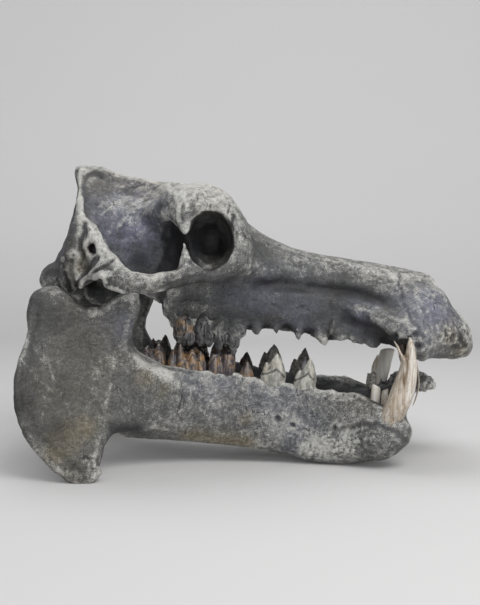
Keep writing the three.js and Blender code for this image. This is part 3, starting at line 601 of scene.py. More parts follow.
def paint_cranium(bone, open_share):
    p = points_of(bone)
    n = normals_of(bone)
    x, y, z = p.T
    side = np.abs(y)
    w = wander(p, 4.5, 16, 31)
    edge = np.clip(-hollowness(bone, 8) / 1.2, 0, 1)
    patchy = grain(p, 26, 41)
    fine = grain(p, 9, 42)
    # pale weathering on the edges, and painted top light on what faces up and lies open; the pale is strongest on brow,
    # crest and snout
    top = ramp(n[:, 2], 0.1, 0.85)
    pale = 0.20 + 0.13 * top * open_share + 0.08 * patchy + 0.06 * fine + 0.30 * edge
    brow = window(w[:, 0], -112, -96, -38, -8) * ramp(w[:, 2], 342, 374)
    pale += 0.23 * brow
    hollow = window(x, -236, -226, -112, -98) * window(z, 262, 274, 374, 390)
    hollow *= fade(side, 84, 98)
    pale -= 0.12 * hollow
    ear = window(w[:, 0], -262, -250, -208, -196) * window(z, 236, 246, 318, 336)
    ear *= ramp(side, 62, 80)
    back = fade(w[:, 0], -246, -235) * window(z, 258, 272, 350, 374)
    pale += 0.08 * ear - 0.06 * back
    pale += marked(
        w,
        (0.34, EAR_RIDGES, 3.4, 60),
        (0.16, EAR_KNOB, 11, 70),
    )
    tooth_edge = window(x, -5, 8, 150, 170) * fade(z, 184, 196)
    pale += 0.10 * tooth_edge * ramp(fine, -0.4, 0.5)
    # pale along the braincase top and the crest: partly a weathered rim, partly painted top light, brightest on the
    # rim's faces turned back and up
    pale += 0.12 * window(w[:, 0], -150, -118, -60, -40) * ramp(w[:, 2], 384, 394)
    pale += 0.80 * near_lines(w, [RIM_OUTSIDE], 4.5) * ramp(-n[:, 0] + 0.6 * n[:, 2], -0.5, 0.3)
    pale += 0.30 * near_lines(w, [CREST_TOP], 4, False)
    pale += marked(
        w,
        (0.3, [BROW_LINE], 5),
        (0.3, [ROOT_CREST, JOINT_LIP], 5),
        (0.2, [MASTOID_EDGE], 4),
        (0.12, [ARCH_EDGE], 3),
        (0.18, [(-212, -128, 318, 14), (-194, -156, 276, 12)]),
        (0.16, [[(140, -34, 276), (170, -40, 268), (205, -46, 264), (246, -40, 258)]], 8),
        (0.14, [[(200, -50, 262), (212, -66, 244), (204, -72, 246)]], 8),
        (0.02, [[(60, -52, 284), (110, -48, 276), (160, -52, 266)]], 12),
        (0.24, [[(262, -48, 254), (281, -62, 230), (298, -62, 206), (312, -56, 182)]], 7),
        (0.3, [(268, -88, 186, 18), (284, -78, 186, 16), (296, -66, 176, 16)]),
        (0.14, [(-8, -110, 284, 24)]),
        (-0.1, [(-50, -128, 268, 24), (16, -70, 296, 26)]),
        (0.1, [(-36, -80, 186, 22)]),
        (0.02, [(-78, -80, 212, 18)]),
        (0.18, TEAR_FOLDS, 4),
        (0.4, TEMPLE_LINE, 2.4, 14),
        (0.02, LIT_RIDGE, 5, 50),
        (0.3, [[(214, -22, 268), (250, -22, 263), (286, -22, 254)]], 4),
        (-0.14, [(-232, -40, 330, 34), (-250, -70, 300, 30), (-150, -60, 300, 30)]),
    )
    pale += 0.20 * drawn(wander(p, 2, 12, 37), VEINS, 1.3, 26)
    # lilac in the muscle hollow and along the snout
    lilac = deepest(
        0,
        w,
        (1, [(-120, -106, 349, 13), (-150, -50, 372, 52), (-120, -60, 372, 30), (-190, -50, 372, 30)]),
        (1, [(-170, -56, 335, 58)]),
        (0.95, [(-254, -60, 322, 34), (-250, -84, 290, 20), (242, -84, 214, 46), (150, -74, 214, 26)]),
        (0.6, [(10, -80, 236, 40), (60, -66, 220, 40), (-20, -90, 236, 30)]),
    )
    pale += marked(
        w,
        (0.27, [(-142, -44, 372, 30), (-112, -64, 374, 16), (-172, -52, 345, 38), (-120, -106, 349, 13)]),
        (-0.11, [(240, -84, 214, 34), (258, -80, 232, 20), (230, -60, 244, 18)]),
    )
    # olive and ochre grime, with a warm painted top light where the bone faces up
    ochre = deepest(
        0,
        w,
        (0.75, [(-230, -124, 284, 20), (-236, -116, 266, 16)]),
        (0.65, [(270, -86, 182, 20), (290, -72, 166, 20)]),
        (0.35, [(-215, -40, 392, 22), (-60, -110, 366, 24), (-150, 0, 398, 40)]),
    )
    ochre += 0.16 * ramp(patchy, 0.2, 1.1) + 0.22 * ramp(n[:, 2], 0.4, 0.9) * ramp(fine, -0.4, 0.8)
    # painted deep shade: inside the holes, hollows, sockets and creases and along the dark band under the cheek ledge;
    # cracks, seams and broken spongy bone are darkened too
    dark = fade(open_share, SHADED, LIT) * (1 - 0.8 * near_spots(w, [(-120, -106, 349, 14)]))
    front = np.interp(z, *np.array(BRAINCASE_FRONT, float).T) + 1.5 * lumps(p, 7, 32)
    beyond = ramp(x - front, -1, 4) * fade(x, -80, -72) * fade(side, 92, 102) * fade(z, 342, 358)
    band = window(w[:, 0], -66, -44, 120, 190)
    band *= fade(w[:, 2], 246, 262) * ramp(w[:, 2], 172, 196) * ramp(side, 34, 50)
    tip = near_spots(p, [(267, -88, 182, 15), (284, -78, 174, 15), (294, -68, 166, 12)])
    dark = deepest(
        dark,
        w,
        (0.62, [RIM_INSIDE], 5),
        (0.92, EAR_GROOVES, 3, 60),
        (0.55, [(-258, -60, 318, 26), (-250, -84, 290, 20), (-150, -60, 292, 26)]),
        (0.35, [(-216, -30, 388, 20)]),
        (0.62, [(-96, -164, 252, 16), (-74, -148, 257, 13), (-50, -132, 257, 14)]),
        (0.35, [[(-150, -170, 246), (-120, -168, 262), (-100, -150, 276)]], 8),
        (0.48, [(12, -70, 298, 26), (-2, -84, 306, 16), (-34, -122, 266, 22), (-62, -140, 264, 20)]),
        (0.8, [TUSK_HOLLOW], 15),
        (0.38, [TUSK_RIDGE], 10),
        (0.88, DEEP_HOLLOW, 11, 50),
        (0.42, FRONT_SEAM, 1.6, 34),
        (0.95, NERVE_HOLES, 4, 60),
        (0.7, [[(-108, -170, 256), (-84, -158, 261), (-62, -144, 264)]], 11),
        (0.88, [(122, -55, 244, 20), (150, -66, 240, 15), (-91, -161, 259, 14), (-160, -52, 285, 20)]),
        (0.46, [(65, -64, 245, 18), (9, -61, 195, 16), (-40, -79, 254, 20), (-84, -80, 222, 22), (-5, -76, 218, 18)]),
        (0.9, [JOINT_CRACK], 2.6),
        (0.5, [(-214, -148, 252, 16)]),
    )
    dark = np.maximum.reduce([
        dark,
        0.97 * beyond * ramp(z, 258, 266),
        0.05 * ear + 0.36 * back,
        drawn(w, EAR_HOLE, 5.4, 90),
        0.4 * hollow * fade(z, 280, 312),
        0.9 * near_spots(p, [(x, -56, z, 8) for x, z, radii in BROKEN_SOCKETS]),
        0.54 * band,
        near_lines(w, [SNOUT_HOLLOW], 13) * fade(x, 150, 205),
        0.96 * drawn(w, LONG_HOLLOW, 12, 40) * fade(x, 160, 220),
        0.9 * ramp(tip, 0.2, 0.7) * ramp(lumps(p, 8, 91) + 0.5 * lumps(p, 4, 92), 0.1, 0.5),
        0.75 * near_lines(w, HAIR_CRACKS, 1.6, False),
        np.clip(hollowness(bone, 3), 0, 1) * 0.8,
    ])
    tint(bone, pale - PALE_LOST_IN_SHADE * dark, lilac, ochre, dark)


# Lines on the right side of the jaw, each mirrored to the left. x, y, z, or x and z on the flank.
ANGLE_RIM = [
    (-296, -154, 225), (-299, -150, 207), (-300, -157, 189), (-304, -168, 169), (-309, -178, 152),
    (-311, -184, 128), (-311, -186, 102), (-305, -188, 82), (-299, -188, 64), (-286, -188, 45),
    (-271, -189, 28), (-252, -191, 15), (-234, -192, 7), (-216, -190, 5), (-204, -182, 16),
]
ANGLE_GROOVE = [[
    (-286, 217), (-289, 197), (-291, 178), (-295, 160), (-298, 137), (-297, 111), (-293, 91),
    (-284, 70), (-272, 53), (-255, 38), (-238, 27), (-222, 20),
]]
JAW_STREAK = [(-159, -112, 154), (-141, -108, 140), (-124, -102, 128), (-107, -96, 116), (-92, -90, 108)]
FLARE_HOLLOW = [(-190, -146, 61), (-176, -126, 58), (-161, -110, 54)]
RAMUS_STREAKS = [
    [(-214, -140, 214), (-226, -146, 170), (-240, -160, 120), (-250, -172, 80)],
    [(-200, -136, 190), (-206, -140, 150), (-216, -152, 104), (-226, -166, 70)],
    [(-240, -146, 200), (-256, -156, 160), (-270, -172, 120), (-278, -180, 84)],
    [(-262, -150, 206), (-276, -162, 170), (-286, -178, 130)],
    [(-186, -132, 160), (-192, -134, 124), (-200, -146, 90)],
]
RAMUS_SCRATCHES = [
    [(-268, 214), (-232, 164), (-186, 118)], [(-252, 222), (-214, 178), (-172, 140)],
    [(-292, 176), (-256, 126), (-214, 88)],
    [(-230, 218), (-196, 182), (-164, 160)], [(-298, 136), (-268, 92), (-236, 62)],
    [(-280, 200), (-244, 146), (-200, 100)],
]
ANGLE_SCRATCHES = [
    [(-291, 131), (-276, 113), (-258, 91)], [(-297, 157), (-284, 134), (-265, 117)],
    [(-271, 157), (-262, 128), (-246, 97)],
    [(-284, 97), (-270, 78), (-252, 64)], [(-262, 122), (-250, 104), (-238, 76)],
]
CHIN_EDGE = [(160, -104, 94), (172, -114, 86), (190, -104, 76), (207, -108, 64)]
LOWER_SOCKET_LINE = [
    (-159, -90, 152), (-122, -82, 139), (-88, -76, 136), (-54, -73, 134), (-24, -70, 128), (4, -69, 120),
    (49, -70, 116), (82, -72, 112), (114, -76, 104), (134, -87, 100), (153, -98, 96),
]


def shape_jaw(bone):
    p = points_of(bone)
    n = normals_of(bone)
    w = wander(p, 1.8, 9, 15)
    cut = np.zeros(len(p))
    cut += marked(
        w,
        (-2, [ANGLE_RIM], 6),
        (2.6, ANGLE_GROOVE, 4.5, 130),
        (2.6, [FLARE_HOLLOW], 8),
        (-1.4, [JAW_STREAK], 5),
        (-0.9, RAMUS_STREAKS, 5),
        (-1.6, [LOWER_SOCKET_LINE], 4),
        (-1.6, [CHIN_EDGE], 4),
        (5, [(33, -84, 67, 3.6), (55, -87, 58, 3.8), (112, -99, 56, 3.2)]),
        (2, [(-20, -78, 92, 2.6), (140, -104, 72, 2.6), (82, -88, 74, 2.4)]),
        # roots show as soft swellings under the teeth
        (-1.4, [(x, -74, 124, 9) for x in (-144, -118, -92, -66, -40, 30, 76)]),
    )
    cut += 1.1 * drawn(w, CHIN_FOLD, 3.4, 60) - 0.9 * drawn(w - [0, 0, 6], CHIN_FOLD, 5, 60)
    # rough chin, and a rough lower border of the angle
    chin = near_spots(p, [(72, -85, 24, 20), (99, -92, 28, 22), (126, -103, 36, 22), (152, -110, 46, 20)])
    border = near_spots(p, [(-262, -186, 24, 18), (-236, -190, 12, 20), (-214, -186, 16, 18)])
    pores = np.abs(lumps(p, 5.5, 81)) + 0.6 * np.abs(lumps(p, 3.6, 82))
    cut += np.maximum(chin, 0.8 * border) * (2.6 * (0.42 - pores) + 0.8 * lumps(p, 12, 83))
    # the tooth row's rim, broken down between the premolars and the tusks
    rim = window(p[:, 0], 92, 100, 158, 176) * ramp(p[:, 2], 84, 98)
    cut += 2.0 * rim * grain(p, 10, 86)
    # the broken wall of the right tusk socket and the ragged front rim
    ragged = ramp(p[:, 0], 150, 190) * ramp(p[:, 2], 62, 84)
    ragged += 1.2 * ramp(p[:, 0], 228, 244) * ramp(p[:, 2], 80, 92)
    cut += ragged * (1.9 * grain(p, 8, 84) + 0.6)
    gap = near_spots(p, [(12 + k * 27, -62, 116 - k * 1.6, 8) for k in range(6)])
    cut += 1.2 * gap * ramp(p[:, 0], -5, 10)
    cut += 0.8 * grain(p, 40, 21) + 0.36 * grain(p, 8, 22) + 0.2 * lumps(p, 4, 23)
    q = p - n * cut[:, None]
    low_rim = np.interp(q[:, 0], [138, 153, 166, 176, 190, 200], [104, 98, 91, 86, 82, 90]) + 1.2 * lumps(p, 6, 87)
    over = (q[:, 0] > 140) & (q[:, 0] < 200) & (np.abs(q[:, 1]) > 62) & (q[:, 2] > low_rim)
    q[over, 2] = low_rim[over] + 0.2 * (q[over, 2] - low_rim[over])
    # the flats that it rests on stay flat
    resting = fade(p[:, 2], 0.2, 5)
    q[:, 2] = q[:, 2] * (1 - resting) + p[:, 2] * resting
    q[:, 2] = np.maximum(q[:, 2], 0)
    put_points(bone, eased_inside(q))


def paint_jaw(bone, open_share):
    p = points_of(bone)
    n = normals_of(bone)
    x, y, z = p.T
    w = wander(p, 4.5, 16, 51)
    edge = np.clip(-hollowness(bone, 8) / 1.2, 0, 1)
    patchy = grain(p, 30, 52)
    fine = grain(p, 9, 53)
    # paler on what faces up and lies open: painted top light; paler on the edges: weathering
    top = ramp(n[:, 2], 0.15, 0.85)
    pale = 0.24 + 0.08 * top * open_share + 0.08 * patchy + 0.06 * fine + 0.26 * edge
    pale += marked(
        w,
        (0.5, [(72, -85, 24, 15), (99, -92, 28, 19), (126, -103, 36, 17), (84, -90, 34, 14)]),
        (0.1, [(150, -104, 60, 34), (40, -84, 70, 34), (110, -92, 84, 30)]),
        (0.05, [(-250, -188, 20, 12), (-226, -190, 10, 12), (-274, -186, 34, 9)]),
        (0.46, [JAW_STREAK], 9),
        (0.12, RAMUS_STREAKS, 5),
        (0.2, [LOWER_SOCKET_LINE], 8),
        (-0.05, [ANGLE_RIM], 10),
        (-0.1, [(-220, -146, 150, 70), (-260, -170, 60, 44), (200, -80, 70, 40), (-300, -180, 110, 40)]),
        (-0.18, [(-262, -150, 206, 34), (-300, -184, 100, 36), (-290, -160, 230, 24), (-244, -172, 80, 36)]),
        (0.1, [(-60, -78, 52, 36), (10, -80, 50, 36)]),
    )
    pale += 0.13 * drawn(wander(p, 1.6, 22, 57), RAMUS_SCRATCHES, 1.5, 90)
    pale += 0.26 * drawn(wander(p, 2.4, 20, 58), ANGLE_SCRATCHES, 3, 120)
    lilac = deepest(
        0,
        w,
        (0.5, [(-180, -134, 200, 26), (-60, -80, 120, 40), (30, -84, 100, 40), (60, -80, 40, 40)]),
        (0.4, [(186, -60, 80, 40), (230, -30, 90, 40)]),
    )
    ochre = deepest(
        0,
        w,
        (0.32, [(-250, -165, 110, 60), (-220, -146, 170, 50)]),
        (0.85, [(-244, -172, 62, 26), (-256, -180, 40, 22), (-226, -160, 66, 20)]),
        (0.95, [[(-89, -83, 42), (-54, -76, 36), (-10, -74, 30)]], 14),
        (0.7, [(-9, -83, 67, 9), (-150, -110, 128, 16), (-128, -100, 110, 14)]),
        (0.4, [(-240, -186, 14, 30), (150, -96, 92, 24), (176, -90, 84, 20)]),
    )
    ochre += 0.14 * ramp(patchy, 0.2, 1.1)
    # painted shade: where little of the view is open, on the jaw's inner walls, in the flare's hollow, in the groove
    # inside the angle's rim and in every crease
    dark = fade(open_share, SHADED, LIT)
    inside = fade(np.abs(y), 52, 66) * ramp(z, 60, 92) * window(x, -170, -150, 215, 235)
    front = ramp(x, 205, 226)
    dark = deepest(
        dark,
        w,
        (0.55, ANGLE_GROOVE, 4.5, 130),
        (0.22, CHIN_FOLD, 3.4, 60),
        (0.75, [FLARE_HOLLOW], 12),
        (0.45, [(-314, -180, 110, 22), (-306, -176, 60, 24), (-262, -150, 214, 34)]),
        (0.78, [(-304, -184, 106, 26), (-254, -180, 68, 22), (167, -105, 94, 9)]),
        (0.4, [(-296, -180, 124, 40), (-284, -160, 226, 34), (-256, -168, 118, 36), (-230, -148, 176, 36)]),
    )
    dark = np.maximum.reduce([
        dark,
        0.65 * inside,
        np.clip(hollowness(bone, 3), 0, 1) * (0.8 - 0.6 * front),
    ])
    dark *= 1 - 0.7 * front
    tint(bone, pale - PALE_LOST_IN_SHADE * dark + 0.26 * front, lilac, ochre, dark)


# ------------------------------------------------------------------ teeth
def drawn_out(name, stations, sides=20):
    """A shaft pulled along stations: x, y, z, half breadth fore and aft, half breadth across."""
    x, y, z, deep, wide = stations[0]
    bpy.ops.mesh.primitive_circle_add(vertices=sides, radius=MM, location=mm(x, y, z), fill_type="NGON")
    obj = added(name)
    bpy.ops.object.mode_set(mode="EDIT")
    bpy.ops.mesh.select_all(action="SELECT")
    bpy.ops.transform.resize(value=(deep, wide, 1), center_override=mm(x, y, z))
    for a, b in zip(stations[:-1], stations[1:]):
        bpy.ops.mesh.extrude_region_move(TRANSFORM_OT_translate={"value": mm(*np.subtract(b, a)[:3])})
        bpy.ops.transform.resize(value=(b[3] / a[3], b[4] / a[4], 1), center_override=mm(*b[:3]))
    bpy.ops.mesh.select_all(action="SELECT")
    bpy.ops.mesh.normals_make_consistent(inside=False)
    bpy.ops.object.mode_set(mode="OBJECT")
    work(obj, "SUBSURF", levels=2, render_levels=2)
    return obj


def cusp(x, y, long, wide, foot, tip, power, lean=0):
    """One column of a tooth, drawn up in rings from a narrow foot: power 1 is a cone, 4 a blunt dome."""
    stations = []
    for t in (0, 0.15, 0.3, 0.45, 0.6, 0.75, 0.88, 0.97):
        size = (0.72 + 0.28 * min(t / 0.3, 1)) * (1 - t**power)
        stations.append((x + lean * t, y, foot + t * (tip - foot), long * size, wide * size))
    return drawn_out("column", stations, 12)


def engraved(points, lines, width):
    """The lines of a ridge drawn on a tooth's outer face."""
    return drawn(points, lines, width, 66, 4)


def tooth(name, columns, body, fold, seed, worn=None, grooves=()):
    """A tooth: columns on a rounded body, fused, creased and worn."""
    x0, x1, y, wide, low, high = body
    parts = [cusp(*column) for column in columns]
    parts.append(egg(((x0 + x1) / 2, y, (low + high) / 2), ((x1 - x0) / 2, wide, (high - low) / 2)))
    obj = joined(name, parts)
    skin(obj, 1.0, 1)
    p = points_of(obj)
    n = normals_of(obj)
    # sharp clefts that run up the tooth
    crease = np.clip(1 - np.abs(lumps(p * [1, 1, 0.3], 6.5, seed)) / 0.2, 0, 1)
    cut = fold * (1.5 * crease + 0.7 * lumps(p * [1, 1, 0.5], 5, seed + 1) + 0.4 * lumps(p, 2.6, seed + 3))
    cut += 1.4 * engraved(p, grooves, 1.4)
    p = p - n * cut[:, None]
    if worn is not None:
        level = worn + 1.3 * lumps(p, 6, seed + 2)
        p[:, 2] = np.where(p[:, 2] > level, level + 0.15 * (p[:, 2] - level), p[:, 2])
    put_points(obj, p)
    return obj


def paint_tooth(obj, low, tip, glow, black, grooves=()):
    """Masks: pale edges, height, orange enamel, and black in clefts and over the tooth (painted shade on the far lower
    teeth).
    """
    p = points_of(obj)
    height = np.clip((p[:, 2] - low) / (tip - low), 0, 1)
    cleft = np.clip(hollowness(obj, 5) / 0.5, 0, 1)
    crown = np.clip(-hollowness(obj, 8) / 0.9, 0, 1)
    middle = window(height, 0.1, 0.4, 0.62, 0.88)
    orange = glow * middle * ramp(grain(p, 8, 91), -0.5, 0.45)
    shade = np.maximum(cleft, black + 0.35 * grain(p, 7, 92))
    shade = np.maximum(shade, engraved(p, grooves, 1.5))
    tint(obj, 0.12 + 0.6 * crown + 0.3 * ramp(height, 0.75, 1.0), height, orange, shade)


P3_CHEVRON = [(10, 126), (20, 128), (28, 131), (32, 133.5), (37.5, 129), (44, 122)]
P2_CHEVRON = [(57, 117), (66, 121.5), (74, 126), (77, 129), (79.5, 123.5), (85, 119)]
# name, columns (x, y, half length, half width, foot, tip, power, lean), body (x from, x to, y, half
# width, z from, z to), orange, black, worn level, grooves
LOWER_TEETH = [
    ("third_molar", [
        (-150.5, 66, 8, 10, 130, 166, 3), (-150, 51, 8, 10, 130, 167, 3), (-133, 68, 11.5, 11, 128, 171, 2.5),
        (-133, 50, 11, 11, 128, 170, 2.6),
    ], (-159, -122, 60, 18, 116, 162), 0.55, 0.25, None, ()),
    ("second_molar", [
        (-113, 67, 9.5, 11, 122, 163.5, 3), (-102, 68, 10, 12, 122, 172, 2.2), (-108, 50, 13, 11, 122, 168, 3),
        (-86, 68, 11.5, 12, 120, 164, 3.2), (-74, 67, 9.5, 11, 120, 161, 3.4), (-82, 50, 15, 11, 120, 165, 3),
    ], (-122, -65, 60, 19, 110, 158), 0.62, 0.16, None, ()),
    ("first_molar", [
        (-54, 65, 10.5, 12, 118, 162, 5), (-54, 50, 10.5, 11, 118, 161, 5), (-35.5, 65, 10.5, 12, 118, 162, 5),
        (-35.5, 50, 10.5, 11, 118, 161, 5),
    ], (-64, -26, 58, 16, 108, 154), 0.5, 0.05, 155, ()),
    ("fourth_premolar", [
        (-11, 62, 11.5, 10, 108, 145, 2.6, 3), (-15, 62, 7, 8, 108, 134, 3),
    ], (-21, 1, 61, 9, 100, 138), 0.42, 0.3, None, ()),
    ("third_premolar", [
        (29, 63, 19, 11, 108, 157, 2.1, 5), (19, 63, 10, 10, 106, 145, 2.6), (38, 63, 8.5, 9, 106, 146, 2.6),
    ], (9, 46, 63, 11, 98, 138), 0.25, 0.0, None, (P3_CHEVRON,)),
    ("second_premolar", [
        (74, 65, 15.5, 11, 104, 151, 2.0, 7), (65, 65, 9.5, 10, 100, 134, 2.6), (81, 65, 6.5, 9, 100, 139, 2.6),
    ], (56, 88, 65, 10, 92, 130), 0.15, 0.0, None, (P2_CHEVRON,)),
]
UPPER_TEETH = [
    ("third_molar", [
        (-103, 71, 11, 12, 190, 170, 3), (-103, 51, 12, 11, 190, 171, 3), (-89, 73, 11, 12, 190, 165, 3),
        (-89, 51, 11, 11, 190, 168, 3),
    ], (-113, -80, 62, 23, 166, 216), 0.55, 0.3, None, ()),
    ("second_molar", [
        (-75, 72, 10, 12, 190, 166, 3), (-75, 51, 10, 11, 190, 168, 3), (-62, 71, 9, 11, 190, 163, 3),
        (-63, 51, 10, 10, 190, 166, 3),
    ], (-88, -55, 62, 22, 166, 212), 0.0, 0.42, None, ()),
    ("first_molar", [
        (-48, 69, 9.5, 11, 188, 155, 3), (-47, 51, 10, 11, 188, 157, 3), (-29, 68, 11, 11, 188, 152, 2.8, 2),
        (-27, 51, 10.5, 11, 188, 156, 3),
    ], (-57, -18, 60, 17, 164, 192), 0.0, 0.5, None, ()),
]


def mirrored(columns, side):
    return [(x, side * y, *rest) for x, y, *rest in columns]


# ------------------------------------------------------------------ tusks
RIGHT_TUSK = [
    (172, -104, 42, 16, 15), (181, -109, 60, 18, 16), (189, -114, 77, 18.3, 16.5), (198.5, -117, 96.5, 17.5, 16),
    (204.2, -118, 115.5, 16.4, 15), (209.2, -118, 135, 13.4, 13.5), (210.8, -118, 150, 10.9, 12),
    (210.2, -118, 157, 10.2, 11),
]
FRONT_BLADE = [
    (210.8, -118, 148, 10.4, 11.5), (212.4, -119, 160, 8, 10), (212.2, -120, 170, 5.8, 8.5),
    (211.6, -120, 178, 3.6, 6), (211, -120, 184, 1.2, 3),
]
BACK_PRONG = [
    (204, -119, 148, 4.5, 8), (199.8, -121, 160, 2.6, 5.5), (195, -121, 170, 1.9, 4.2), (189, -120, 180.5, 0.9, 2),
]
CANAL_WALL = [(206, -111, 146, 7, 5), (204, -109, 160, 7, 3.5), (202.5, -108, 176, 7.5, 2.6)]
LEFT_TUSK = [
    (188, 99, 56, 12, 11), (196.5, 100, 82, 11.4, 8), (201.3, 101, 101, 11.6, 6), (206.4, 102, 121, 11.6, 5.5),
    (211.2, 102, 139, 11.7, 5.2), (212.6, 102, 145, 11.7, 5),
]
LEFT_SLIVER = [
    (195, 105, 90, 5, 6), (191, 106, 103, 5, 6), (193, 106, 117, 5.5, 6), (196, 106, 128, 4, 5),
    (198.5, 106, 135, 1.6, 3),
]


def right_tusk():
    """The big near tusk. Its top is broken open: a blade in front, a thin prong behind."""
    shaft = drawn_out("shaft", RIGHT_TUSK)
    bpy.ops.mesh.primitive_cone_add(
        vertices=20, radius1=0.8 * MM, radius2=6 * MM, depth=26 * MM,
        location=mm(205, -121, 158), scale=(1, 1.6, 1), rotation=(0, math.radians(-18), 0),
    )
    cut_away(shaft, added("canal"))
    parts = [shaft, *(drawn_out("part", stations, 14) for stations in (FRONT_BLADE, BACK_PRONG, CANAL_WALL))]
    obj = joined("tusk_right_ivory", parts)
    skin(obj, 0.85, 1)
    p = points_of(obj)
    n = normals_of(obj)
    cut = 0.35 * lumps(p * [1, 1, 0.08], 4.2, 101) + 0.2 * lumps(p * [1, 1, 0.12], 2.2, 102)
    cut += 0.45 * ramp(p[:, 2], 150, 164) * lumps(p, 4, 103)
    put_points(obj, p - n * cut[:, None])
    return obj


def left_tusk():
    """The far tusk: a flat split slab with a sliver of its outside standing behind it."""
    slab = drawn_out("slab", LEFT_TUSK)
    cut_away(slab, block((214, 102, 152), (60, 60, 12), (0, 7, 0)))
    sliver = drawn_out("sliver", LEFT_SLIVER, 14)
    obj = joined("tusk_left_ivory", [slab, sliver])
    skin(obj, 0.9, 1)
    p = points_of(obj)
    n = normals_of(obj)
    cut = 0.3 * lumps(p * [1, 1, 0.15], 4, 111) + 0.2 * lumps(p, 3, 112)
    put_points(obj, p - n * cut[:, None])
    return obj


SPLINTER = [
    (221.5, -112, 152, 0.9, 2.2), (223.4, -111, 143, 1.0, 3.4), (224.6, -110, 134, 1.1, 4.4),
    (225.6, -110, 120, 1.2, 5.0), (224.6, -110, 110, 1.2, 4.8), (221.6, -111, 98, 1.0, 3.6),
    (217.0, -112, 88, 0.8, 2.0),
]
STUMPS = [
    ("incisor_stump_far", (180, 62, 84, 8.5, 8), (183, 63, 114, 8, 7.5), 0.9, 0),
    ("incisor_stump_middle", (169, -76, 74, 7.5, 6.5), (171.5, -77, 113.5, 6.8, 6.2), 0.1, 0.42),
    ("incisor_stump_near", (182, -79, 74, 5.5, 5.5), (183.5, -80, 109, 4.6, 4.8), 0.42, -0.5),
]


def stump(name, foot, top, lean):
    """The broken root of a front tooth, hollow in the middle and higher on one side."""
    x, y, z, deep, wide = top
    stations = [foot, (x, y, z - 7, deep, wide)]
    stations += [(x, y, z - 1.5, deep * 0.92, wide * 0.9), (x, y, z, deep * 0.7, wide * 0.7)]
    obj = drawn_out(name, stations, 16)
    bpy.ops.mesh.primitive_cone_add(
        vertices=14, radius1=0.5 * MM, radius2=0.5 * deep * MM, depth=14 * MM, location=mm(x, y, z - 1)
    )
    cut_away(obj, added("canal"))
    skin(obj, 0.9, 1)
    p = points_of(obj)
    broken = ramp(p[:, 2], z - 16, z)
    p[:, 2] -= broken * (lean * (p[:, 0] - x) + 2.6 + 2.6 * lumps(p * [1, 1, 0], 5, 121))
    p[:, :2] += 0.7 * broken[:, None] * np.stack([lumps(p, 7, 122), lumps(p, 7, 123)], axis=1)
    put_points(obj, p)
    return obj


# ------------------------------------------------------------------ materials
class Mixer:
    """Short words for wiring a material. Its four painted masks are on the mesh."""

    def __init__(self, name):
        self.material = bpy.data.materials.new(name)
        self.material.use_nodes = True
        self.nodes = self.material.node_tree.nodes
        self.links = self.material.node_tree.links
        self.shader = self.nodes["Principled BSDF"]
        self.place = self.node("TexCoord")["Object"]

    def node(self, kind, settings=(), **inputs):
        """A new node with its settings and inputs, returned as its outputs."""
        node = self.nodes.new("ShaderNode" + kind)
        for name, value in dict(settings).items():
            setattr(node, name, value)
        for name, value in inputs.items():
            self.wire(value, node.inputs[name.replace("_", " ")])
        return node.outputs

    def finish(self, **inputs):
        for name, value in inputs.items():
            self.wire(value, self.shader.inputs[name.replace("_", " ")])
        return self.material

    def wire(self, source, socket):
        if hasattr(source, "links"):
            self.links.new(source, socket)
        else:
            socket.default_value = source

    def noise(self, scale, detail=4.0, rough=0.6, place=None, twist=0.0):
        place = place or self.place
        return self.node("TexNoise", Scale=scale, Detail=detail, Roughness=rough, Distortion=twist, Vector=place)["Fac"]

    def cells(self, scale, feature="F1", place=None):
        return self.node("TexVoronoi", {"feature": feature}, Scale=scale, Vector=place or self.place)["Distance"]

    def stretched(self, scale, turn=(0, 0, 0)):
        turn = [math.radians(v) for v in turn]
        return self.node("Mapping", Scale=scale, Rotation=turn, Vector=self.place)["Vector"]

    def math(self, kind, *values):
        node = self.nodes.new("ShaderNodeMath")
        node.operation = kind
        for value, socket in zip(values, node.inputs):
            self.wire(value, socket)
        return node.outputs[0]

    def times(self, a, b):
        return self.math("MULTIPLY", a, b)

    def plus(self, a, b):
        return self.math("ADD", a, b)

    def ramp(self, value, low, high, out_low=0.0, out_high=1.0):
        limits = {"From Min": low, "From Max": high, "To Min": out_low, "To Max": out_high}
        return self.node("MapRange", {"interpolation_type": "SMOOTHSTEP"}, Value=value, **limits)["Result"]

    def mix(self, share, a, b):
        node = self.nodes.new("ShaderNodeMix")
        node.data_type = "RGBA"
        self.wire(share, node.inputs["Factor"])
        for value, socket in zip((a, b), node.inputs[6:8]):
            self.wire((*value, 1) if isinstance(value, tuple) else value, socket)
        return node.outputs[2]

    def masks(self, *channels):
        found = self.node("Attribute", {"attribute_name": "patina_and_painted_light"})
        split = self.node("SeparateColor", Color=found["Color"])
        return [found["Alpha"] if channel == "Alpha" else split[channel] for channel in channels]

    def bump(self, height, strength, distance):
        return self.node("Bump", Strength=strength, Distance=distance * MM, Height=height)["Normal"]


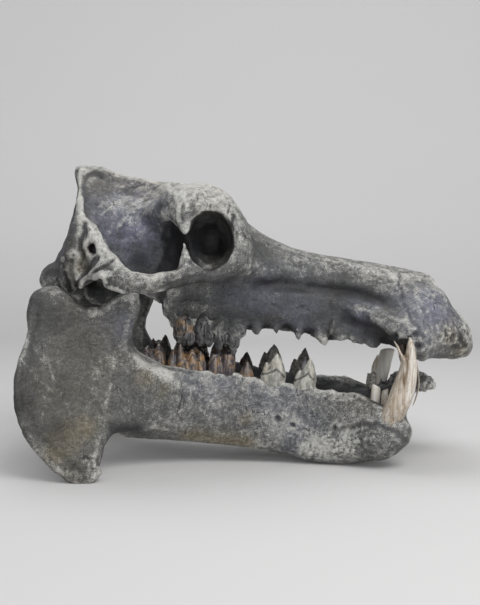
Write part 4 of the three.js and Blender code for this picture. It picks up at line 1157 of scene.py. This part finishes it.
def bone_finish(name, shift, streak_turn):
    """Dark petrified bone: pale weathering, lilac and ochre stains and black cracks, with painted top light and painted
    shade.
    """
    m = Mixer(name)
    pale, lilac, ochre, dark = m.masks("Red", "Green", "Blue", "Alpha")
    broad = m.noise(38 + shift, 5, 0.62)
    mottle = m.noise(200, 5, 0.7, twist=0.3)
    speck = m.noise(680, 3, 0.75)
    dust = m.noise(1400, 2, 0.6)
    streaks = m.noise(90, 4, 0.65, m.stretched((0.25, 1, 1.6), streak_turn))
    ground = m.mix(m.ramp(broad, 0.35, 0.65), (0.054, 0.055, 0.053), (0.105, 0.105, 0.100))
    ground = m.mix(m.ramp(mottle, 0.42, 0.62), ground, (0.140, 0.140, 0.132))
    ground = m.mix(m.ramp(streaks, 0.50, 0.66, 0.0, 0.45), ground, (0.20, 0.20, 0.19))
    ground = m.mix(m.ramp(speck, 0.58, 0.40, 0.0, 0.55), ground, (0.045, 0.046, 0.048))
    blue = m.mix(m.ramp(mottle, 0.38, 0.64), (0.115, 0.119, 0.160), (0.225, 0.230, 0.305))
    colour = m.mix(m.times(lilac, m.ramp(broad, 0.30, 0.62, 0.35, 0.95)), ground, blue)
    # pale weathering and painted top light come as specks that close up where they are strong
    field = m.math("MULTIPLY_ADD", speck, 0.95, m.times(mottle, 0.45))
    field = m.plus(field, m.times(broad, 0.30))
    field = m.plus(m.math("MULTIPLY_ADD", dust, 0.30, field), pale)
    veil = m.ramp(field, 1.20, 1.66)
    chalk = m.mix(m.ramp(mottle, 0.35, 0.65), (0.34, 0.34, 0.325), (0.56, 0.55, 0.505))
    colour = m.mix(veil, colour, chalk)
    # ochre grime, with a warm painted top light where the bone faces up
    grime_and_warm_light = m.mix(m.ramp(mottle, 0.4, 0.6), (0.150, 0.115, 0.062), (0.30, 0.255, 0.165))
    colour = m.mix(m.times(ochre, m.ramp(speck, 0.34, 0.62, 0.25, 0.85)), colour, grime_and_warm_light)
    # the dark mask: black cracks and painted shade
    colour = m.mix(m.times(dark, m.ramp(speck, 0.30, 0.66, 1.0, 0.78)), colour, (0.010, 0.010, 0.012))
    # open pores and hair cracks
    pores = m.ramp(m.cells(420), 0.20, 0.34, 1.0, 0.0)
    pores = m.times(pores, m.ramp(mottle, 0.47, 0.60))
    bent = m.nodes.new("ShaderNodeVectorMath")
    bent.operation = "MULTIPLY_ADD"
    bend = (m.node("TexNoise", Scale=60, Vector=m.place)["Color"], (0.02, 0.02, 0.02), m.place)
    for value, socket in zip(bend, bent.inputs):
        m.wire(value, socket)
    cracks = m.ramp(m.cells(26, "DISTANCE_TO_EDGE", bent.outputs[0]), 0.004, 0.016, 1.0, 0.0)
    cracks = m.times(cracks, m.ramp(broad, 0.50, 0.58))
    flaws = m.math("MAXIMUM", m.times(pores, 0.75), m.times(cracks, 0.8))
    colour = m.mix(flaws, colour, (0.022, 0.021, 0.021))
    rough = m.math("MULTIPLY_ADD", veil, 0.16, m.ramp(mottle, 0.35, 0.65, 0.58, 0.78))
    height = m.math("MULTIPLY_ADD", mottle, 0.8, m.times(speck, 0.5))
    height = m.plus(height, m.times(veil, 0.22))
    height = m.math("SUBTRACT", height, m.times(flaws, 0.7))
    bump = m.bump(height, 0.75, 1.5)
    return m.finish(Base_Color=colour, Roughness=rough, Specular_IOR_Level=0.35, Normal=bump)


def enamel_finish(name, ground, light, warm):
    m = Mixer(name)
    pale, orange, dark = m.masks("Red", "Blue", "Alpha")
    flute = m.noise(170, 4, 0.6, m.stretched((1, 1, 0.35)))
    speck = m.noise(700, 3, 0.7)
    broad = m.noise(70, 3, 0.5)
    colour = m.mix(m.ramp(flute, 0.40, 0.60), ground, light)
    colour = m.mix(m.times(orange, m.ramp(flute, 0.34, 0.60)), colour, warm)
    shine = m.plus(pale, m.times(broad, 0.5))
    colour = m.mix(m.ramp(shine, 0.72, 1.15, 0.0, 0.8), colour, (0.55, 0.51, 0.44))
    colour = m.mix(m.times(dark, m.ramp(speck, 0.3, 0.7, 1.0, 0.7)), colour, (0.016, 0.013, 0.014))
    bump = m.bump(m.plus(flute, m.times(speck, 0.3)), 0.5, 0.8)
    return m.finish(Base_Color=colour, Roughness=m.ramp(speck, 0.35, 0.65, 0.20, 0.42), Normal=bump)


def ivory_finish(name, light, warm, stain, marks):
    """Broken ivory: cream, streaked brown along its length, speckled dark at its foot."""
    m = Mixer(name)
    cream, brown, dark = m.masks("Red", "Blue", "Alpha")
    grainy = m.noise(260, 5, 0.62, m.stretched((1, 1, 0.07), (0, 8, 0)))
    thread = m.noise(620, 3, 0.6, m.stretched((1, 1, 0.05), (0, 8, 0)))
    speck = m.noise(600, 3, 0.75)
    colour = m.mix(m.ramp(grainy, 0.32, 0.62), warm, light)
    # the cream mask: the slab's own cream face, and on the near tusk a painted highlight stripe
    colour = m.mix(m.times(cream, m.ramp(grainy, 0.36, 0.56)), colour, (0.67, 0.64, 0.58))
    colour = m.mix(m.ramp(thread, 0.52, 0.64, 0.0, marks), colour, stain)
    colour = m.mix(m.times(brown, m.ramp(grainy, 0.66, 0.42)), colour, stain)
    dots = m.times(dark, m.ramp(speck, 0.47, 0.56))
    colour = m.mix(dots, colour, (0.045, 0.034, 0.030))
    colour = m.mix(m.ramp(dark, 0.8, 1.0), colour, (0.030, 0.015, 0.010))
    bump = m.bump(m.plus(m.times(thread, 0.5), m.times(grainy, 0.4)), 0.4, 0.6)
    return m.finish(Base_Color=colour, Roughness=m.ramp(grainy, 0.3, 0.7, 0.42, 0.6), Normal=bump)


def dress(obj, material, slot):
    obj.data.materials.clear()
    obj.data.materials.append(material)
    smooth_faces(obj)
    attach(obj, "root")


# ------------------------------------------------------------------ camera, lights, floor
SENSOR = 36
# in picture points
FOCAL_LENGTH, PICTURE_HEIGHT = 1080, 605
LOOKS_DOWN = 3.89
camera_data = bpy.data.cameras.new("camera")
camera_data.sensor_width = SENSOR
camera_data.lens = SENSOR * FOCAL_LENGTH / PICTURE_HEIGHT
camera = placed("camera", camera_data)
camera.location = (-0.0187, -1.575, 0.330)
camera.rotation_euler = (math.radians(90 - LOOKS_DOWN), 0, 0)
bpy.context.scene.camera = camera
bpy.context.scene.view_settings.view_transform = "Standard"


def soft_light(name, kind, place, aim, power, colour=(1, 1, 1), **settings):
    data = bpy.data.lights.new(name, kind)
    data.energy = power
    data.color = colour
    for setting, value in settings.items():
        setattr(data, setting, value)
    lamp = placed(name, data)
    lamp.location = place
    lamp.rotation_euler = (Vector(aim) - Vector(place)).to_track_quat("-Z", "Y").to_euler()


soft_light("key", "AREA", (0.65, -1.25, 1.65), (0.05, -0.05, 0.2), 23, shape="DISK", size=1.3)
soft_light("top", "AREA", (-0.25, 0.45, 1.9), (0, 0, 0.25), 12, (0.97, 0.98, 1), shape="DISK", size=1.4)
soft_light("fill", "SUN", (0.95, -2.2, 0.42), (0.05, 0, 0.16), 1.22, (0.95, 0.97, 1), angle=math.radians(30))

world = bpy.data.worlds.new("studio")
world.use_nodes = True
background = world.node_tree.nodes["Background"]
background.inputs["Color"].default_value = (0.86, 0.87, 0.90, 1)
background.inputs["Strength"].default_value = 0.5
bpy.context.scene.world = world

# a paper sheet that turns up behind the skull: steps back and up from its far edge
SHEET_STEPS = ((0.30, 0.05), (0.26, 0.16), (0.16, 0.26), (0.05, 0.30), (0, 3.5))
bpy.ops.mesh.primitive_plane_add(size=12, location=(0, -4.4, 0))
floor = added("studio_floor")
bpy.ops.object.mode_set(mode="EDIT")
bpy.ops.mesh.select_all(action="DESELECT")
bm = bmesh.from_edit_mesh(floor.data)
for side_edge in bm.edges:
    side_edge.select = all(v.co.y > 1.5 for v in side_edge.verts)
bmesh.update_edit_mesh(floor.data)
for back, up in SHEET_STEPS:
    bpy.ops.mesh.extrude_region_move(TRANSFORM_OT_translate={"value": (0, back, up)})
bpy.ops.object.mode_set(mode="OBJECT")
smooth_faces(floor)
floor.data.materials.append(Mixer("studio_paper").finish(Base_Color=(0.62, 0.61, 0.60, 1), Roughness=0.85))

# ------------------------------------------------------------------ the pieces
skull_bone = bone_finish("skull_bone", 0, (0, 25, 0))
jaw_bone = bone_finish("jaw_bone", 7, (0, -62, 0))
molar_enamel = enamel_finish("molar_enamel", (0.050, 0.042, 0.048), (0.155, 0.125, 0.105), (0.37, 0.19, 0.045))
dark_enamel = enamel_finish("dark_enamel", (0.034, 0.034, 0.037), (0.150, 0.148, 0.148), (0.50, 0.30, 0.13))
premolar_enamel = enamel_finish("premolar_enamel", (0.21, 0.21, 0.185), (0.42, 0.41, 0.36), (0.34, 0.22, 0.09))
tusk_ivory = ivory_finish("tusk_ivory", (0.50, 0.43, 0.35), (0.36, 0.285, 0.205), (0.115, 0.075, 0.040), 0.42)
pale_ivory = ivory_finish("pale_ivory", (0.88, 0.86, 0.82), (0.78, 0.73, 0.63), (0.40, 0.32, 0.20), 0.05)

cranium = bone_cast("cranium", "cranium_bone")
take_out_teeth(cranium, upper_gum, 34, 88)
# the walls spread towards the front, as the tooth row does
socket_walls = [
    egg((x, side * np.interp(x, [100, 180], [60, 84]), z), radii)
    for side in (-1, 1)
    for x, z, radii in SOCKET_WALLS
]
gum_swellings = [
    egg((x, side * 61, z), radii)
    for side in (-1, 1)
    for x, z, radii in ((-46, 190, (13, 21, 16)), (-26, 188, (14, 20, 15)), (-84, 222, (30, 18, 12)))
]
cranium = joined("cranium_bone", [cranium, *gum_swellings, *socket_walls])
skin(cranium, CRANIUM_CELL, 3)
for side in (-1, 1):
    for x, z, radii in BROKEN_SOCKETS:
        press_in(cranium, (x, side * 66, z), radii)
shape_cranium(cranium)

jaw = bone_cast("mandible", "jaw_bone")
take_out_teeth(jaw, jaw_gum, 36, 86)
# the front rim is broken off on a slant
cut_away(jaw, block((268.5, 0, 87.6), (60, 160, 40), (0, -35, 0)))
skin(jaw, JAW_CELL, 3)
shape_jaw(jaw)

cranium_open = openness(cranium, (jaw,))
jaw_open = openness(jaw, (cranium,))
paint_cranium(cranium, cranium_open)
paint_jaw(jaw, jaw_open)
dress(cranium, skull_bone, "skull_bone")
dress(jaw, jaw_bone, "jaw_bone")
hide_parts("cranium")
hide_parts("mandible")

seed = 200
for side, side_name in ((-1, "right"), (1, "left")):
    for row, teeth in (("lower", LOWER_TEETH), ("upper", UPPER_TEETH)):
        for tooth_name, columns, body, glow, black, worn, grooves in teeth:
            seed += 7
            low, tip, fold, slot, enamel = 172, 222, 1.2, "skull_bone", dark_enamel
            if row == "lower":
                low, tip, fold = body[4] + 10, max(column[5] for column in columns), 0.8
                slot, enamel = "jaw_bone", molar_enamel
                # the far side's lower teeth are painted near black: painted shade
                black += 0.8 * (side > 0)
            if "premolar" in tooth_name:
                fold = 0.45
                enamel = molar_enamel if tooth_name == "fourth_premolar" else premolar_enamel
            foot = (*body[:2], side * body[2], *body[3:])
            name = f"{row}_{tooth_name}_{side_name}"
            piece = tooth(name, mirrored(columns, side), foot, fold, seed, worn, grooves)
            paint_tooth(piece, low, tip, glow, black, grooves)
            dress(piece, enamel, slot)

ivory = right_tusk()
p = points_of(ivory)
centre = np.interp(p[:, 2], [s[2] for s in RIGHT_TUSK], [s[0] for s in RIGHT_TUSK])
half = np.interp(p[:, 2], [s[2] for s in RIGHT_TUSK], [s[3] for s in RIGHT_TUSK])
across = (p[:, 0] - centre) / half + 0.12 * lumps(p * [0, 0, 1], 14, 131)
band = np.exp(-(((across + 0.36) / 0.26) ** 2)) * window(p[:, 2], 106, 124, 158, 168)
dark_line = np.exp(-(((across - 0.05) / 0.10) ** 2)) * window(p[:, 2], 84, 100, 132, 150)
specks = 0.62 * fade(p[:, 2], 72, 102) + 0.5 * dark_line
# dark inside the open canal, and painted shade in the hollows of the broken top
canal = ramp(p[:, 2], 149, 156) * ramp(p[:, 1], -119, -113) * fade(p[:, 0], 208, 211)
deep = np.maximum(canal, np.clip(hollowness(ivory, 12) / 1.6, 0, 1) * ramp(p[:, 2], 148, 156))
# a pale stripe down the front right of the tusk: painted highlight
white = 0.2 + 0.8 * np.exp(-(((across - 0.48) / 0.40) ** 2)) * ramp(p[:, 2], 84, 112)
tint(ivory, white, 0, band, np.maximum(specks, deep))
dress(ivory, tusk_ivory, "ivory_brown")
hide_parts("tusk_right")

slab = left_tusk()
p = points_of(slab)
split = np.interp(p[:, 2], [91, 108, 125, 132], [188, 194, 199, 196])
inner = fade(p[:, 0] - split, -2, 2)
# the split face brown, the outside cream, and the foot painted dark as painted shade
tint(slab, 1 - 0.8 * inner, 0, 0.8 * inner, 0.8 * fade(p[:, 2], 86, 95))
dress(slab, pale_ivory, "ivory_pale")
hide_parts("tusk_left")

splinter = drawn_out("tusk_splinter", SPLINTER, 8)
p = points_of(splinter)
tint(splinter, 0.5, 0, 0.3 + 0.4 * lumps(p, 8, 141), 0.2)
dress(splinter, tusk_ivory, "ivory_brown")

for name, foot, top, gloom, lean in STUMPS:
    root_piece = stump(name, foot, top, lean)
    p = points_of(root_piece)
    # dark in the hollow middle: painted shade
    hole = np.clip(hollowness(root_piece, 8) / 1.4, 0, 1)
    low = 0.55 * fade(p[:, 2], top[2] - 28, top[2] - 18)
    tint(root_piece, 0.5 * (1 - gloom), 0, 0.3 + gloom * 0.5, np.maximum(low, np.maximum(hole, gloom * 0.95)))
    dress(root_piece, pale_ivory, "ivory_pale")
